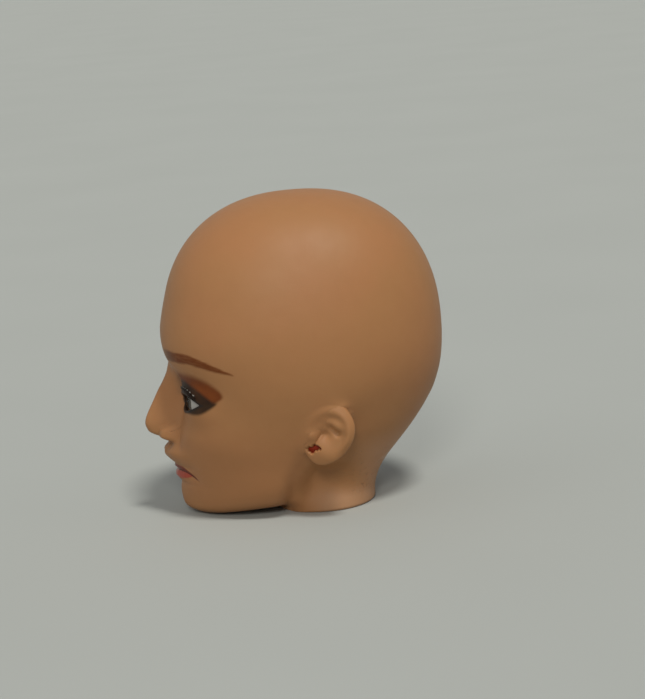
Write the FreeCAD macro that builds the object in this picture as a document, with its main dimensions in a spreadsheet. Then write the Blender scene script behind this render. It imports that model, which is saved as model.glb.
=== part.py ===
# Fashion doll head: a hollow soft vinyl head with inset eyes, applied lashes and a turning neck plug.
# Lengths are millimetres.  +Z is up, the face looks along -Y and the doll's left side is +X.
# The origin is the centre of the neck opening, on the plane that the head rests on.
import FreeCAD, Part
import Sketcher
import math
import os

Vector = FreeCAD.Vector
doc = FreeCAD.newDocument("doll_head")
sheet = doc.addObject("Spreadsheet::Sheet", "sizes")

# Driving dimensions: name, value, what it measures
driving = (
    ("head_width", 28.0, "widest part of the skull, ears left out"),
    ("head_depth", 38.0, "tip of the nose to the back of the skull"),
    ("head_height", 39.4, "rest plane to the crown"),
    ("vinyl_wall", 1.9, "least wall of the cast vinyl"),
    ("face_blend", 2.6, "rounding where face and skull meet"),
    ("jaw_blend", 3.0, "rounding of the jaw's lower edge"),
    ("brow_blend", 8.0, "rounding of the face's upper end"),
    ("mouth_half_share", 0.143, "middle to corner of the mouth, of head_width"),
    ("mouth_level_share", 0.16, "height of the mouth line, of head_height"),
    ("lip_height", 0.5, "how far the lips stand out"),
    ("eye_side_share", 0.2036, "middle plane to the eye's centre, of head_width"),
    ("eye_forward_share", 0.3316, "neck axis to the eye's centre, of head_depth"),
    ("eye_level_share", 0.3858, "height of the eye's centre, of head_height"),
    ("eye_radius", 3.9, "eyeball and cornea"),
    ("eye_clearance", 0.1, "eyeball to vinyl socket"),
    ("lid_wall", 0.35, "vinyl over the eyeball"),
    ("lid_blend", 1.8, "rounding of the lids into the face"),
    ("socket_wall", 1.1, "wall of the socket inside the head"),
    ("socket_length", 4.2, "eye's centre to the socket's open end"),
    ("slit_inner", 2.7, "eye's centre to the inner corner"),
    ("slit_outer", 3.3, "eye's centre to the outer corner"),
    ("slit_top", 1.5, "eye's centre to the upper lid"),
    ("slit_bottom", 1.45, "eye's centre to the lower lid"),
    ("slit_fall", 0.4, "corners below the eye's centre"),
    ("eye_back", 2.0, "eye's centre to its flat back"),
    ("eye_hollow_radius", 2.3, "recess in the eye's back"),
    ("eye_hollow_depth", 2.4, "depth of that recess"),
    ("iris_radius", 2.0, "iris disc and cornea rim"),
    ("iris_thickness", 0.5, "iris disc"),
    ("cornea_depth", 1.0, "front of the cornea to the iris"),
    ("cup_front", 1.2, "eye's centre to the cup's front"),
    ("cup_length", 2.4, "cup, front to back"),
    ("cup_hole_radius", 2.4, "hole in the cup"),
    ("cup_clearance", 0.06, "eyeball to the cup's seat"),
    ("lash_thickness", 0.16, "lash strip"),
    ("lash_length", 1.2, "lid to lash tips"),
    ("lash_root", 0.2, "strip let into the lid"),
    ("ear_half_width", 2.9, "half of the ear across"),
    ("ear_half_height", 4.1, "half of the ear along"),
    ("ear_side_share", 0.4321, "middle plane to the ear's centre, of head_width"),
    ("ear_back_share", 0.0105, "neck axis to the ear's centre, of head_depth"),
    ("ear_level_share", 0.2792, "height of the ear's centre, of head_height"),
    ("ear_thickness", 1.3, "middle of the ear, front to back"),
    ("piercing_radius", 0.6, "hole in the ear"),
    ("piercing_depth", 1.6, "depth of that hole"),
    ("collar_radius", 6.0, "thick ring of vinyl in the neck"),
    ("collar_height", 7.2, "rest plane to the top of that ring"),
    ("insert_radius", 4.2, "neck insert and its hole in the vinyl"),
    ("insert_recess", 0.8, "insert's lower end above the rest plane"),
    ("flange_radius", 5.2, "insert's flange on the vinyl ring"),
    ("flange_thickness", 0.8, "that flange"),
    ("flange_clearance", 0.15, "flange to the vinyl round it"),
    ("flange_guard", 2.6, "thin ring of vinyl round the flange, above the thick one"),
    ("knob_radius", 3.2, "turning knob"),
    ("knob_clearance", 0.05, "knob in the insert, on the radius"),
    ("shoulder_radius", 3.9, "shoulder under the insert"),
    ("end_play", 0.1, "knob in the insert, along the axis"),
    ("knob_top", 1.4, "knob above the flange"),
    ("groove_radius", 2.7, "bottom of the clip's groove"),
    ("clip_radius", 4.2, "outside of the clip"),
    ("clip_thickness", 0.45, "clip"),
    ("clip_clearance", 0.03, "clip in its groove"),
    ("clip_gap", 3.0, "mouth of the clip"),
    ("post_radius", 1.9, "hole for the body's neck post"),
    ("post_depth", 6.0, "depth of that hole"),
    ("overrun", 1.0, "how far a cut runs past the wall"),
)

# Dimensions that follow the head's own
following = (
    ("mouth_half", "=head_width * mouth_half_share", "middle to corner of the mouth"),
    ("mouth_level", "=head_height * mouth_level_share", "height of the mouth line"),
    ("eye_side", "=head_width * eye_side_share", "middle plane to the eye's centre"),
    ("eye_forward", "=head_depth * eye_forward_share", "neck axis to the eye's centre"),
    ("eye_level", "=head_height * eye_level_share", "height of the eye's centre"),
    ("ear_side", "=head_width * ear_side_share", "middle plane to the ear's centre"),
    ("ear_back", "=head_depth * ear_back_share", "neck axis to the ear's centre"),
    ("ear_level", "=head_height * ear_level_share", "height of the ear's centre"),
)
for row, (alias, value, meaning) in enumerate(driving + following, 1):
    sheet.set("A%d" % row, alias)
    sheet.set("B%d" % row, str(value))
    sheet.set("C%d" % row, meaning)
    sheet.setAlias("B%d" % row, alias)
doc.recompute()


def size(alias):
    """Value of a driving dimension."""
    return float(sheet.get(alias))


width = size("head_width")
depth = size("head_depth")
height = size("head_height")
face_blend = size("face_blend")
jaw_blend = size("jaw_blend")
brow_blend = size("brow_blend")
lid_blend = size("lid_blend")
mouth_half = size("mouth_half")
mouth_level = size("mouth_level")
lip_height = size("lip_height")
vinyl_wall = size("vinyl_wall")
eye_place = Vector(size("eye_side"), -size("eye_forward"), size("eye_level"))
socket_radius = size("eye_radius") + size("eye_clearance")
lid_radius = socket_radius + size("lid_wall")

# Skull: an egg-shaped body, narrower below the eyes
skull_half_share = 0.493       # of head_width
skull_reach_share = 0.455      # of head_depth
skull_front_share = 0.033      # its middle in front of the neck axis, of head_depth
skull_level_share = 0.556      # its middle, of head_height
skull_rise_share = 0.443       # middle to crown, of head_height
skull_slope_share = 0.413      # of head_height, makes its outline a distance
skull_power_share = 2.3        # exponent of its rounded outline
narrow_power_share = 0.25      # that exponent's loss lower down
narrow_from_share = 0.56       # of head_height
narrow_over_share = 0.25       # of head_height

# Face: a column whose outline changes with height, closed by the underside of the jaw and the brow
face_middle_share = 0.18       # its middle in front of the neck axis, of head_depth
face_shift_share = 0.151       # its middle further back at eye level, of head_depth
face_shift_over_share = 0.533  # of head_height
face_slope_share = 0.8         # of its half width, makes its outline a distance
jaw_front_share = 0.395        # of head_depth
jaw_climb_share = 0.06         # rise of the underside towards the neck
jaw_low_share = 0.005          # of head_height
jaw_round_share = 0.62         # rise of the underside to the sides
brow_top_share = 0.685         # of head_height
front_share = 0.224            # features stand out in front of this, of head_depth
front_fade_share = 0.024       # of head_depth

# Curves of the head against height: height as a share of head_height, then a share of the size named
face_front_shares = (          # of head_depth, without nose and lips
    (-0.076, -0.395), (0.0, -0.447), (0.03, -0.466), (0.058, -0.472), (0.102, -0.475),
    (0.152, -0.482), (0.228, -0.493), (0.305, -0.482), (0.381, -0.463), (0.47, -0.453),
    (0.546, -0.474), (0.635, -0.48), (0.711, -0.458), (0.787, -0.408))
face_half_shares = (           # of head_width
    (-0.076, 0.243), (0.0, 0.271), (0.076, 0.311), (0.152, 0.35), (0.254, 0.404),
    (0.355, 0.439), (0.457, 0.457), (0.558, 0.468), (0.711, 0.457))
face_power_shares = (          # exponent of the face's rounded outline
    (-0.051, 1.6), (0.051, 1.62), (0.152, 1.85), (0.254, 2.1), (0.355, 2.3), (0.508, 2.35),
    (0.66, 2.4))
jaw_rear_shares = (            # of head_depth
    (-0.051, 0.079), (0.102, 0.089), (0.203, 0.132), (0.305, 0.211), (0.406, 0.316),
    (0.685, 0.368))
nose_height_shares = (         # of head_depth
    (0.228, 0.0), (0.244, 0.009), (0.256, 0.039), (0.269, 0.071), (0.282, 0.087),
    (0.297, 0.095), (0.312, 0.092), (0.33, 0.084), (0.355, 0.071), (0.381, 0.058),
    (0.406, 0.046), (0.431, 0.032), (0.457, 0.017), (0.482, 0.007), (0.508, 0.003), (0.533, 0.0))
nose_half_shares = (           # of head_width
    (0.223, 0.060), (0.244, 0.063), (0.259, 0.055), (0.279, 0.049), (0.305, 0.048),
    (0.33, 0.046), (0.381, 0.042), (0.431, 0.042), (0.482, 0.054), (0.533, 0.079))
neck_front_share = 0.163       # of head_depth
neck_back_shares = (           # of head_depth
    (-0.051, 0.161), (0.0, 0.166), (0.03, 0.163), (0.094, 0.166), (0.173, 0.197),
    (0.246, 0.245), (0.305, 0.279), (0.355, 0.3))
neck_half_shares = (           # of head_width
    (-0.051, 0.232), (0.0, 0.229), (0.025, 0.22), (0.066, 0.205), (0.127, 0.211),
    (0.203, 0.25), (0.279, 0.307))

# Soft mounds and hollows of the face: across, up, half spread across, half spread up, turn in degrees,
# how far it stands out.  Across and its spread are shares of head_width, up and its spread of
# head_height and the last of head_depth.
relief_shares = (
    (0.179, 0.528, 0.136, 0.036, -6, 0.005),     # brow
    (0.121, 0.429, 0.054, 0.043, 0, -0.018),     # inner corner of the eye
    (0.229, 0.444, 0.096, 0.040, -8, -0.016),    # fold above the lid
    (0.214, 0.327, 0.093, 0.025, 0, -0.009),     # below the lower lid
    (0.286, 0.302, 0.093, 0.051, -20, 0.013),    # cheek
    (0.143, 0.279, 0.046, 0.051, 25, -0.006),    # beside the nose
    (0.070, 0.277, 0.023, 0.019, 0, 0.028),      # wing of the nose
    (0.109, 0.269, 0.016, 0.028, 15, -0.013),    # behind the wing
    (0.000, 0.497, 0.079, 0.032, 0, -0.018),     # root of the nose
    (0.000, 0.173, 0.114, 0.051, 0, 0.013),      # round the mouth
    (0.000, 0.213, 0.016, 0.020, 0, -0.004),     # groove above the lip
    (0.000, 0.105, 0.071, 0.015, 0, -0.008),     # below the lower lip
    (0.168, 0.137, 0.025, 0.025, 0, -0.005),     # corner of the mouth
    (0.000, 0.058, 0.086, 0.030, 0, 0.005))      # chin
nose_fall_share, nose_power_share = 0.7, 2.2      # fall of the nose's sides

# Lips: half length, middle above the mouth line and half height, as shares of the mouth's half width
lip_shares = ((0.9, 0.2, 0.14), (0.75, -0.21, 0.15))
bow_dip_share = 0.04           # dip in the middle of the mouth line
bow_half_share = 0.17
mouth_fall_share = 0.2         # fall of the mouth line to its corners


def blend_low(first, second, radius):
    """Smaller of two distances, rounded where they are nearer than radius."""
    near = max(radius - abs(first - second), 0.0) / radius
    return min(first, second) - near ** 3 * radius / 6


def blend_high(first, second, radius):
    return -blend_low(-first, -second, radius)


def ease(share):
    """0 to 1 with level ends."""
    share = min(max(share, 0.0), 1.0)
    return share * share * (3 - 2 * share)


def slopes(shares):
    """Slope at each point of a table, level at both ends."""
    result = [0.0]
    for (a, p), (b, q), (c, r) in zip(shares, shares[1:], shares[2:]):
        left = (q - p) / (b - a)
        right = (r - q) / (c - b)
        result.append((right * (b - a) + left * (c - b)) / (c - a))
    return result + [0.0]


table_slopes = {}


def curve(place, shares):
    """Smooth curve through a table, held level past its ends."""
    slope = table_slopes.setdefault(id(shares), slopes(shares))
    if place <= shares[0][0]:
        return shares[0][1]
    if place >= shares[-1][0]:
        return shares[-1][1]
    at = 0
    while place > shares[at + 1][0]:
        at += 1
    (a, p), (b, q) = shares[at], shares[at + 1]
    run = b - a
    u = (place - a) / run
    return ((2 * u ** 3 - 3 * u ** 2 + 1) * p + (u ** 3 - 2 * u ** 2 + u) * run * slope[at]
            + (3 * u ** 2 - 2 * u ** 3) * q + (u ** 3 - u ** 2) * run * slope[at + 1])


def rounded(x, y, power):
    return (x ** power + y ** power) ** (1 / power)


def plain_head(x, y, z):
    """Distance from the head without features and neck: skull and face blended together."""
    share = z / height
    power = skull_power_share - narrow_power_share * ease((narrow_from_share - share) / narrow_over_share)
    skull_across = x / (skull_half_share * width)
    skull_along = abs(y + skull_front_share * depth) / (skull_reach_share * depth)
    skull_up = abs(share - skull_level_share) / skull_rise_share
    skull = rounded(rounded(skull_across, skull_along, power), skull_up, power)
    skull = (skull - 1) * skull_slope_share * height
    half = width * curve(share, face_half_shares)
    middle = depth * (face_shift_share * ease(share / face_shift_over_share) - face_middle_share)
    if y < middle:
        reach = middle - depth * curve(share, face_front_shares)
    else:
        reach = depth * curve(share, jaw_rear_shares)
    face = rounded(x / half, abs(y - middle) / reach, curve(share, face_power_shares))
    face = (face - 1) * half * face_slope_share
    underside = (jaw_climb_share * max(y + jaw_front_share * depth, 0.0) - jaw_low_share * height
                 + jaw_round_share * width * (x / width) ** 2)
    face = blend_high(face, underside - z, jaw_blend)
    face = blend_high(face, z - brow_top_share * height, brow_blend)
    return blend_low(skull, face, face_blend)


def relief(x, z):
    """How far nose, lips, cheeks and the rest stand out of the plain face."""
    share = z / height
    nose_half = width * curve(share, nose_half_shares)
    bridge = math.exp(-nose_fall_share * (x / nose_half) ** nose_power_share)
    out = depth * curve(share, nose_height_shares) * bridge
    for across, up, spread_across, spread_up, turn, stand in relief_shares:
        angle = math.radians(turn)
        right = x - across * width
        above = z - up * height
        u = (right * math.cos(angle) + above * math.sin(angle)) / (spread_across * width)
        v = (above * math.cos(angle) - right * math.sin(angle)) / (spread_up * height)
        out += stand * depth * math.exp(-0.5 * (u * u + v * v))
    across = x / mouth_half
    up = (z - mouth_level) / mouth_half + mouth_fall_share * across ** 2
    up += bow_dip_share * math.exp(-(across / bow_half_share) ** 2)
    for lip_half, lip_up, lip_spread in lip_shares:
        out += lip_height * math.exp(-(across / lip_half) ** 4 - 0.5 * ((up - lip_up) / lip_spread) ** 2)
    return out


def head_skin(x, y, z):
    """Distance from the outside of the head, lids closed."""
    x = abs(x)
    behind = (y / depth + front_share) / front_fade_share
    front = 0.0 if behind > 60 else 1 / (1 + math.exp(behind))
    outside = plain_head(x, y + relief(x, z) * front, z)
    lids = (Vector(x, y, z) - eye_place).Length - lid_radius
    return blend_low(outside, lids, lid_blend)


def head_cavity(x, y, z):
    """Distance from the inside of the head."""
    return plain_head(abs(x), y, z) + vinyl_wall


def closed_solid(rows):
    """Solid inside one smooth surface through rows of points that run from pole to pole."""
    surface = Part.BSplineSurface()
    surface.interpolate([row + row[:1] for row in rows])
    solid = Part.Solid(Part.Shell([surface.toShape()]))
    if solid.Volume < 0:
        solid.reverse()
    return solid


def solid_from_field(field, columns, rows, gather):
    """Solid whose surface is where the field is zero, found along rays from a point inside it.

    Both the turn about the vertical and the rise of the rays gather towards the face.
    """
    middle = Vector(0, -ray_front_share * depth, ray_level_share * height)
    grid = []
    for row in range(rows + 1):
        even = math.pi * (row / rows - 0.5)
        uneven = math.sin(2 * even + rise_lag_share) + math.sin(rise_lag_share)
        rise = even - rise_gather_share * gather * uneven
        line = []
        for column in range(columns):
            even = math.pi * (2 * column / columns - 1)
            turn = even - gather * math.sin(even)
            ray = Vector(math.sin(turn) * math.cos(rise), -math.cos(turn) * math.cos(rise), math.sin(rise))
            inner, outer = 0.0, height
            for step in range(halving_count):
                reach = (inner + outer) / 2
                point = middle + ray * reach
                if field(point.x, point.y, point.z) < 0:
                    inner = reach
                else:
                    outer = reach
            line.append(point)
            if row in (0, rows):
                line = [point] * columns
                break
        grid.append(line)
    return closed_solid(grid)


def feature(name, shape):
    """Document object that holds a free-form shape."""
    item = doc.addObject("Part::Feature", name)
    item.Shape = shape
    item.Placement = FreeCAD.Placement()
    return item


def neck_solid():
    """Neck stub: a loft through a ring at each height of the nape's table, deeper behind than in front."""
    rings = []
    for share, back in neck_back_shares:
        across = width * curve(share, neck_half_shares)
        points = []
        for column in range(neck_column_count):
            angle = 2 * math.pi * column / neck_column_count
            reach = depth * (back if math.cos(angle) > 0 else neck_front_share)
            points.append(Vector(across * math.sin(angle), reach * math.cos(angle), share * height))
        ring = Part.BSplineCurve()
        ring.interpolate(points, PeriodicFlag=True)
        rings.append(Part.Wire(ring.toShape()))
    return Part.makeLoft(rings, True)


# Rays of the head's surface: where they start, how many there are and how they gather towards the face
ray_front_share, ray_level_share = 0.066, 0.457    # of head_depth, of head_height
rise_gather_share, rise_lag_share = 0.6, 0.9
halving_count = 18
skin_column_count, skin_row_count, skin_gather_share = 52, 56, 0.5
cavity_column_count, cavity_row_count = 24, 24
neck_column_count = 24
skin_shape = solid_from_field(head_skin, skin_column_count, skin_row_count, skin_gather_share)
skin = feature("skin_form", skin_shape)
neck = feature("neck_form", neck_solid())
cavity = feature("cavity_form", solid_from_field(head_cavity, cavity_column_count, cavity_row_count, 0))

ear_lean_angle = 35        # degrees, top of the ear towards the back
ear_flare_angle = 20       # degrees, back edge of the ear away from the skull
lean = math.radians(ear_lean_angle)
flare = math.radians(ear_flare_angle)
to_rear = Vector(math.sin(flare), math.cos(flare), 0)
ear_out = Vector(math.cos(flare), -math.sin(flare), 0)
ear_across = to_rear * math.cos(lean) - Vector(0, 0, 1) * math.sin(lean)
ear_along = Vector(0, 0, 1) * math.cos(lean) + to_rear * math.sin(lean)
ear_middle = Vector(size("ear_side"), size("ear_back"), size("ear_level"))


# Relief of the ear's face, as shares of its half height.  Ridges: how far they stand out, ring, half width,
# then the turn and the spread of the arc that they follow.  Mounds: how far they stand out, across, along
# and half spread both ways.
helix_shares = (0.15, 0.86, 0.13, 1.27, 0.75)
fold_shares = (0.10, 0.50, 0.16, 0.2, 0.4)
bowl_shares = (-0.26, -0.10, -0.10, 0.32, 0.36)
tragus_shares = (0.12, -0.62, -0.05, 0.20, 0.18)
arc_fade_share = 0.8           # how soon a ridge fades along its arc
ear_face_share = 0.07          # face above the ear's edge
ear_top_share = 0.15           # how much wider the ear is at its top
ear_front_ring_count, ear_back_ring_count, ear_column_count = 12, 6, 32


def ridge(ring, angle, shares):
    """Ridge along an arc of one ring, fading out at both ends."""
    stand, place, spread, turn, fade = shares
    along_arc = ease((math.cos(angle - turn) + fade) / arc_fade_share)
    return stand * math.exp(-((ring - place) / spread) ** 2) * along_arc


def mound(across, along, shares):
    """Round mound, or a hollow where it stands out by less than nothing."""
    stand, place_across, place_along, spread_across, spread_along = shares
    u = (across - place_across) / spread_across
    v = (along - place_along) / spread_along
    return stand * math.exp(-u * u - v * v)


def ear_height(ring, angle, across, along):
    """How far the ear's face stands out of its plane, as a share of its half height.

    ring is 0 in the middle and 1 on the edge, angle is 0 at the rear and a quarter turn at the top.
    """
    ridges = ridge(ring, angle, helix_shares) + ridge(ring, angle, fold_shares)
    mounds = mound(across, along, bowl_shares) + mound(across, along, tragus_shares)
    return ear_face_share * (1 - ring ** 4) + ridges + mounds


def ear_solid():
    """Closed ear: rings from the middle of its face out to the edge and in again over its back."""
    half_width = size("ear_half_width")
    half_height = size("ear_half_height")
    rows = []
    for row in range(ear_front_ring_count + ear_back_ring_count + 1):
        past_edge = max(row - ear_front_ring_count, 0)
        ring = 1 - past_edge / ear_back_ring_count if past_edge else row / ear_front_ring_count
        line = []
        for column in range(ear_column_count):
            angle = 2 * math.pi * column / ear_column_count
            across = ring * math.cos(angle) * (1 + ear_top_share * math.sin(angle))
            along = ring * math.sin(angle)
            if not past_edge:
                stand = ear_height(ring, angle, across, along) * half_height
            else:
                stand = -size("ear_thickness") * (1 - ring ** 2)
            line.append(ear_middle + ear_across * (across * half_width)
                        + ear_along * (along * half_height) + ear_out * stand)
        rows.append([line[0]] * ear_column_count if ring == 0 else line)
    return closed_solid(rows)


def lid_edge(lift):
    """Arc of the upper lid's edge, raised by lift, and its two ends."""
    low = eye_place.z - size("slit_fall") + lift
    inner = Vector(eye_place.x - size("slit_inner"), -size("eye_forward"), low)
    outer = Vector(eye_place.x + size("slit_outer"), -size("eye_forward"), low)
    top = Vector(eye_place.x, -size("eye_forward"), eye_place.z + size("slit_top") + lift)
    return inner, outer, Part.Arc(inner, top, outer).toShape()


forward = Vector(0, -(lid_radius + lid_blend + size("lash_length")), 0)


def slit_solid():
    """Almond opening between the lids, from the eye's centre out through the vinyl."""
    inner, outer, upper = lid_edge(0)
    bottom = Vector(eye_place.x, -size("eye_forward"), eye_place.z - size("slit_bottom"))
    lower = Part.Arc(outer, bottom, inner).toShape()
    return Part.Face(Part.Wire([upper, lower])).extrude(forward)


def lash_solid():
    """Strip of lashes along the upper lid, its root let into the lid."""
    inner, outer, lower = lid_edge(0)
    raised_inner, raised_outer, upper = lid_edge(size("lash_thickness"))
    ends = [Part.LineSegment(outer, raised_outer).toShape(), Part.LineSegment(inner, raised_inner).toShape()]
    band = Part.Face(Part.Wire(Part.__sortEdges__([lower, upper] + ends))).extrude(forward)
    tips = Part.makeSphere(lid_radius + size("lash_length"), eye_place)
    root = Part.makeSphere(lid_radius - size("lash_root"), eye_place)
    return band.common(tips).cut(root)


def bound(kind, name, bindings):
    """Document object whose properties follow the sheet."""
    item = doc.addObject(kind, name)
    for place, formula in bindings.items():
        item.setExpression(place, formula)
    return item


def forward_cylinder(name, radius, start, length, sign):
    """Cylinder on the eye's axis that starts at a distance behind the eye's centre and runs back."""
    item = bound("Part::Cylinder", name, {
        "Radius": radius,
        "Height": length,
        "Placement.Base.x": "sizes.eye_side * %d" % sign,
        "Placement.Base.y": "%s - sizes.eye_forward" % start,
        "Placement.Base.z": "sizes.eye_level"})
    item.Placement.Rotation = FreeCAD.Rotation(Vector(1, 0, 0), -90)
    return item


def eye_sphere(name, radius, sign):
    return bound("Part::Sphere", name, {
        "Radius": radius,
        "Placement.Base.x": "sizes.eye_side * %d" % sign,
        "Placement.Base.y": "-sizes.eye_forward",
        "Placement.Base.z": "sizes.eye_level"})


def upright_cylinder(name, radius, start, length):
    return bound("Part::Cylinder", name, {
        "Radius": radius, "Height": length, "Placement.Base.z": start})


def fused(name, shapes):
    item = doc.addObject("Part::MultiFuse", name)
    item.Shapes = shapes
    return item


def cut(name, base, tool):
    item = doc.addObject("Part::Cut", name)
    item.Base = base
    item.Tool = tool
    return item


def common(name, first, second):
    item = doc.addObject("Part::MultiCommon", name)
    item.Shapes = [first, second]
    return item


def number(formula):
    """Value of a sum of the sheet's aliases, such as knob_radius + knob_clearance."""
    words = formula.split()
    total, sign = 0.0, 1
    for word in words:
        if word in "+-":
            sign = 1 if word == "+" else -1
        else:
            total += sign * size(word)
    return total


def with_sheet(formula):
    """The same sum as an expression, with the sheet's name before each alias."""
    return " ".join(word if word in "+-" else "sizes." + word for word in formula.split())


def body_sketch(body, name, plane):
    """Sketch on one of the body's own planes."""
    sketch = body.newObject("Sketcher::SketchObject", name)
    origin_plane = [item for item in body.Origin.OriginFeatures if item.Role == plane][0]
    sketch.AttachmentSupport = [(origin_plane, "")]
    sketch.MapMode = "FlatFace"
    return sketch


def turned_body(name, outline):
    """Body turned about the neck axis from corners (radius, height); None is the axis or the rest plane."""
    body = doc.addObject("PartDesign::Body", name)
    sketch = body_sketch(body, name + "_outline", "XZ_Plane")
    corners = [Vector(number(r) if r else 0, number(z) if z else 0, 0) for r, z in outline]
    last = len(corners) - 1
    for start, end in zip(corners, corners[1:] + corners[:1]):
        sketch.addGeometry(Part.LineSegment(start, end), False)
    for index, (r, z) in enumerate(outline):
        before = index - 1 if index else last
        sketch.addConstraint(Sketcher.Constraint("Coincident", before, 2, index, 1))
        for kind, formula, value, axis in (("DistanceX", r, corners[index].x, -2),
                                           ("DistanceY", z, corners[index].y, -1)):
            if formula:
                at = sketch.addConstraint(Sketcher.Constraint(kind, -1, 1, index, 1, value))
                sketch.setExpression("Constraints[%d]" % at, with_sheet(formula))
            else:
                sketch.addConstraint(Sketcher.Constraint("PointOnObject", index, 1, axis))
    turn = body.newObject("PartDesign::Revolution", name + "_turning")
    turn.Profile = sketch
    turn.ReferenceAxis = (sketch, ["V_Axis"])
    turn.Angle = 360
    doc.recompute()
    return body


# Neck insert: bush with a flange on the collar
flange_top = "collar_height + flange_thickness"
insert = turned_body("neck_insert", (
    ("knob_radius + knob_clearance", "insert_recess"),
    ("insert_radius", "insert_recess"),
    ("insert_radius", "collar_height"),
    ("flange_radius", "collar_height"),
    ("flange_radius", flange_top),
    ("knob_radius + knob_clearance", flange_top)))

# Neck knob: shoulder below the insert, groove for the clip above it, hole for the neck post
clip_bottom = flange_top + " + end_play"
knob = turned_body("neck_knob", (
    (None, None),
    ("shoulder_radius", None),
    ("shoulder_radius", "insert_recess - end_play"),
    ("knob_radius", "insert_recess - end_play"),
    ("knob_radius", clip_bottom + " - clip_clearance"),
    ("groove_radius", clip_bottom + " - clip_clearance"),
    ("groove_radius", clip_bottom + " + clip_thickness + clip_clearance"),
    ("knob_radius", clip_bottom + " + clip_thickness + clip_clearance"),
    ("knob_radius", flange_top + " + knob_top"),
    (None, flange_top + " + knob_top")))
solid_knob_volume = knob.Shape.Volume
post_circle = body_sketch(knob, "post_circle", "XY_Plane")
post_circle.addGeometry(Part.Circle(Vector(0, 0, 0), Vector(0, 0, 1), size("post_radius")), False)
post_circle.addConstraint(Sketcher.Constraint("Coincident", 0, 3, -1, 1))
post_width = post_circle.addConstraint(Sketcher.Constraint("Radius", 0, size("post_radius")))
post_circle.setExpression("Constraints[%d]" % post_width, "sizes.post_radius")
post_hole = knob.newObject("PartDesign::Pocket", "post_hole")
post_hole.Profile = post_circle
post_hole.setExpression("Length", "sizes.post_depth")
post_hole.Reversed = True
doc.recompute()
if knob.Shape.Volume >= solid_knob_volume:
    raise RuntimeError("the hole for the neck post removes nothing")

# Knob clip: open ring in the knob's groove, above the flange
clip_start = with_sheet(clip_bottom)
clip_blank = upright_cylinder("clip_blank", "sizes.clip_radius", clip_start, "sizes.clip_thickness")
clip_inside = upright_cylinder("clip_inside", "sizes.groove_radius + sizes.clip_clearance",
                               clip_start + " - sizes.overrun", "sizes.clip_thickness + 2 * sizes.overrun")
clip_mouth = bound("Part::Box", "clip_mouth", {
    "Length": "sizes.clip_gap", "Width": "sizes.clip_radius + sizes.overrun",
    "Height": "sizes.clip_thickness + 2 * sizes.overrun",
    "Placement.Base.x": "-sizes.clip_gap / 2", "Placement.Base.z": clip_start + " - sizes.overrun"})
clip = cut("knob_clip", clip_blank, fused("clip_cuts", [clip_inside, clip_mouth]))


mirror_plane = (Vector(0, 0, 0), Vector(1, 0, 0))


def free_form(name, shape, sign):
    """Free form of one side: the left shape, or its mirror image."""
    return feature(name, shape if sign > 0 else shape.mirror(*mirror_plane))


sides = (("left", 1), ("right", -1))
ear_shape = ear_solid()
slit_shape = slit_solid()
lash_shape = lash_solid()
piercing_across_share, piercing_along_share = -0.47, -0.76    # of the ear's half width and half height
hole_place = (ear_middle + ear_across * (piercing_across_share * size("ear_half_width"))
              + ear_along * (piercing_along_share * size("ear_half_height"))
              + ear_out * size("piercing_depth"))
hole_shape = Part.makeCylinder(size("piercing_radius"), 2 * size("piercing_depth"), hole_place, ear_out * -1)

socket_r = "sizes.eye_radius + sizes.eye_clearance"
boss_r = socket_r + " + sizes.socket_wall"
outside_forms, cavity_keeps, cuts = [skin, neck], [], []
parts = [insert, knob, clip]
for side, sign in sides:
    outside_forms.append(free_form(side + "_ear_form", ear_shape, sign))
    cavity_keeps.append(eye_sphere(side + "_socket_dome", boss_r, sign))
    cavity_keeps.append(forward_cylinder(side + "_socket_tube", boss_r, "0", "sizes.socket_length", sign))
    cuts.append(eye_sphere(side + "_socket_seat", socket_r, sign))
    cuts.append(forward_cylinder(side + "_socket_bore", socket_r, "0",
                                 "sizes.socket_length + sizes.overrun", sign))
    cuts.append(free_form(side + "_slit_form", slit_shape, sign))
    cuts.append(free_form(side + "_ear_hole_form", hole_shape, sign))
    lashes = free_form(side + "_eyelashes", lash_shape, sign)
    cuts.append(lashes)

    ball = eye_sphere(side + "_eyeball", "sizes.eye_radius", sign)
    behind = forward_cylinder(side + "_eye_back", "sizes.eye_radius + sizes.overrun", "sizes.eye_back",
                              "sizes.eye_radius", sign)
    hollow = forward_cylinder(side + "_eye_hollow", "sizes.eye_hollow_radius",
                              "sizes.eye_back - sizes.eye_hollow_depth",
                              "sizes.eye_hollow_depth + sizes.overrun", sign)
    iris_back = "(sizes.cornea_depth + sizes.iris_thickness - sizes.eye_radius)"
    recess = forward_cylinder(side + "_iris_recess", "sizes.iris_radius",
                              "-(sizes.eye_radius + sizes.overrun)",
                              "sizes.cornea_depth + sizes.iris_thickness + sizes.overrun", sign)
    white = cut(side + "_eye_white", ball, fused(side + "_eye_cuts", [behind, hollow, recess]))
    iris = forward_cylinder(side + "_iris", "sizes.iris_radius", iris_back + " - sizes.iris_thickness",
                            "sizes.iris_thickness", sign)
    dome = eye_sphere(side + "_cornea_dome", "sizes.eye_radius", sign)
    core = forward_cylinder(side + "_cornea_core", "sizes.iris_radius", "-(sizes.eye_radius + sizes.overrun)",
                            "sizes.cornea_depth + sizes.overrun", sign)
    cornea = common(side + "_cornea", dome, core)
    ring = forward_cylinder(side + "_cup_ring", socket_r, "sizes.cup_front", "sizes.cup_length", sign)
    seat = eye_sphere(side + "_cup_seat", "sizes.eye_radius + sizes.cup_clearance", sign)
    hole = forward_cylinder(side + "_cup_hole", "sizes.cup_hole_radius", "0",
                            "sizes.cup_front + sizes.cup_length + sizes.overrun", sign)
    cup = cut(side + "_eye_cup", ring, fused(side + "_cup_cuts", [seat, hole]))
    parts += [lashes, white, iris, cornea, cup]

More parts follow.
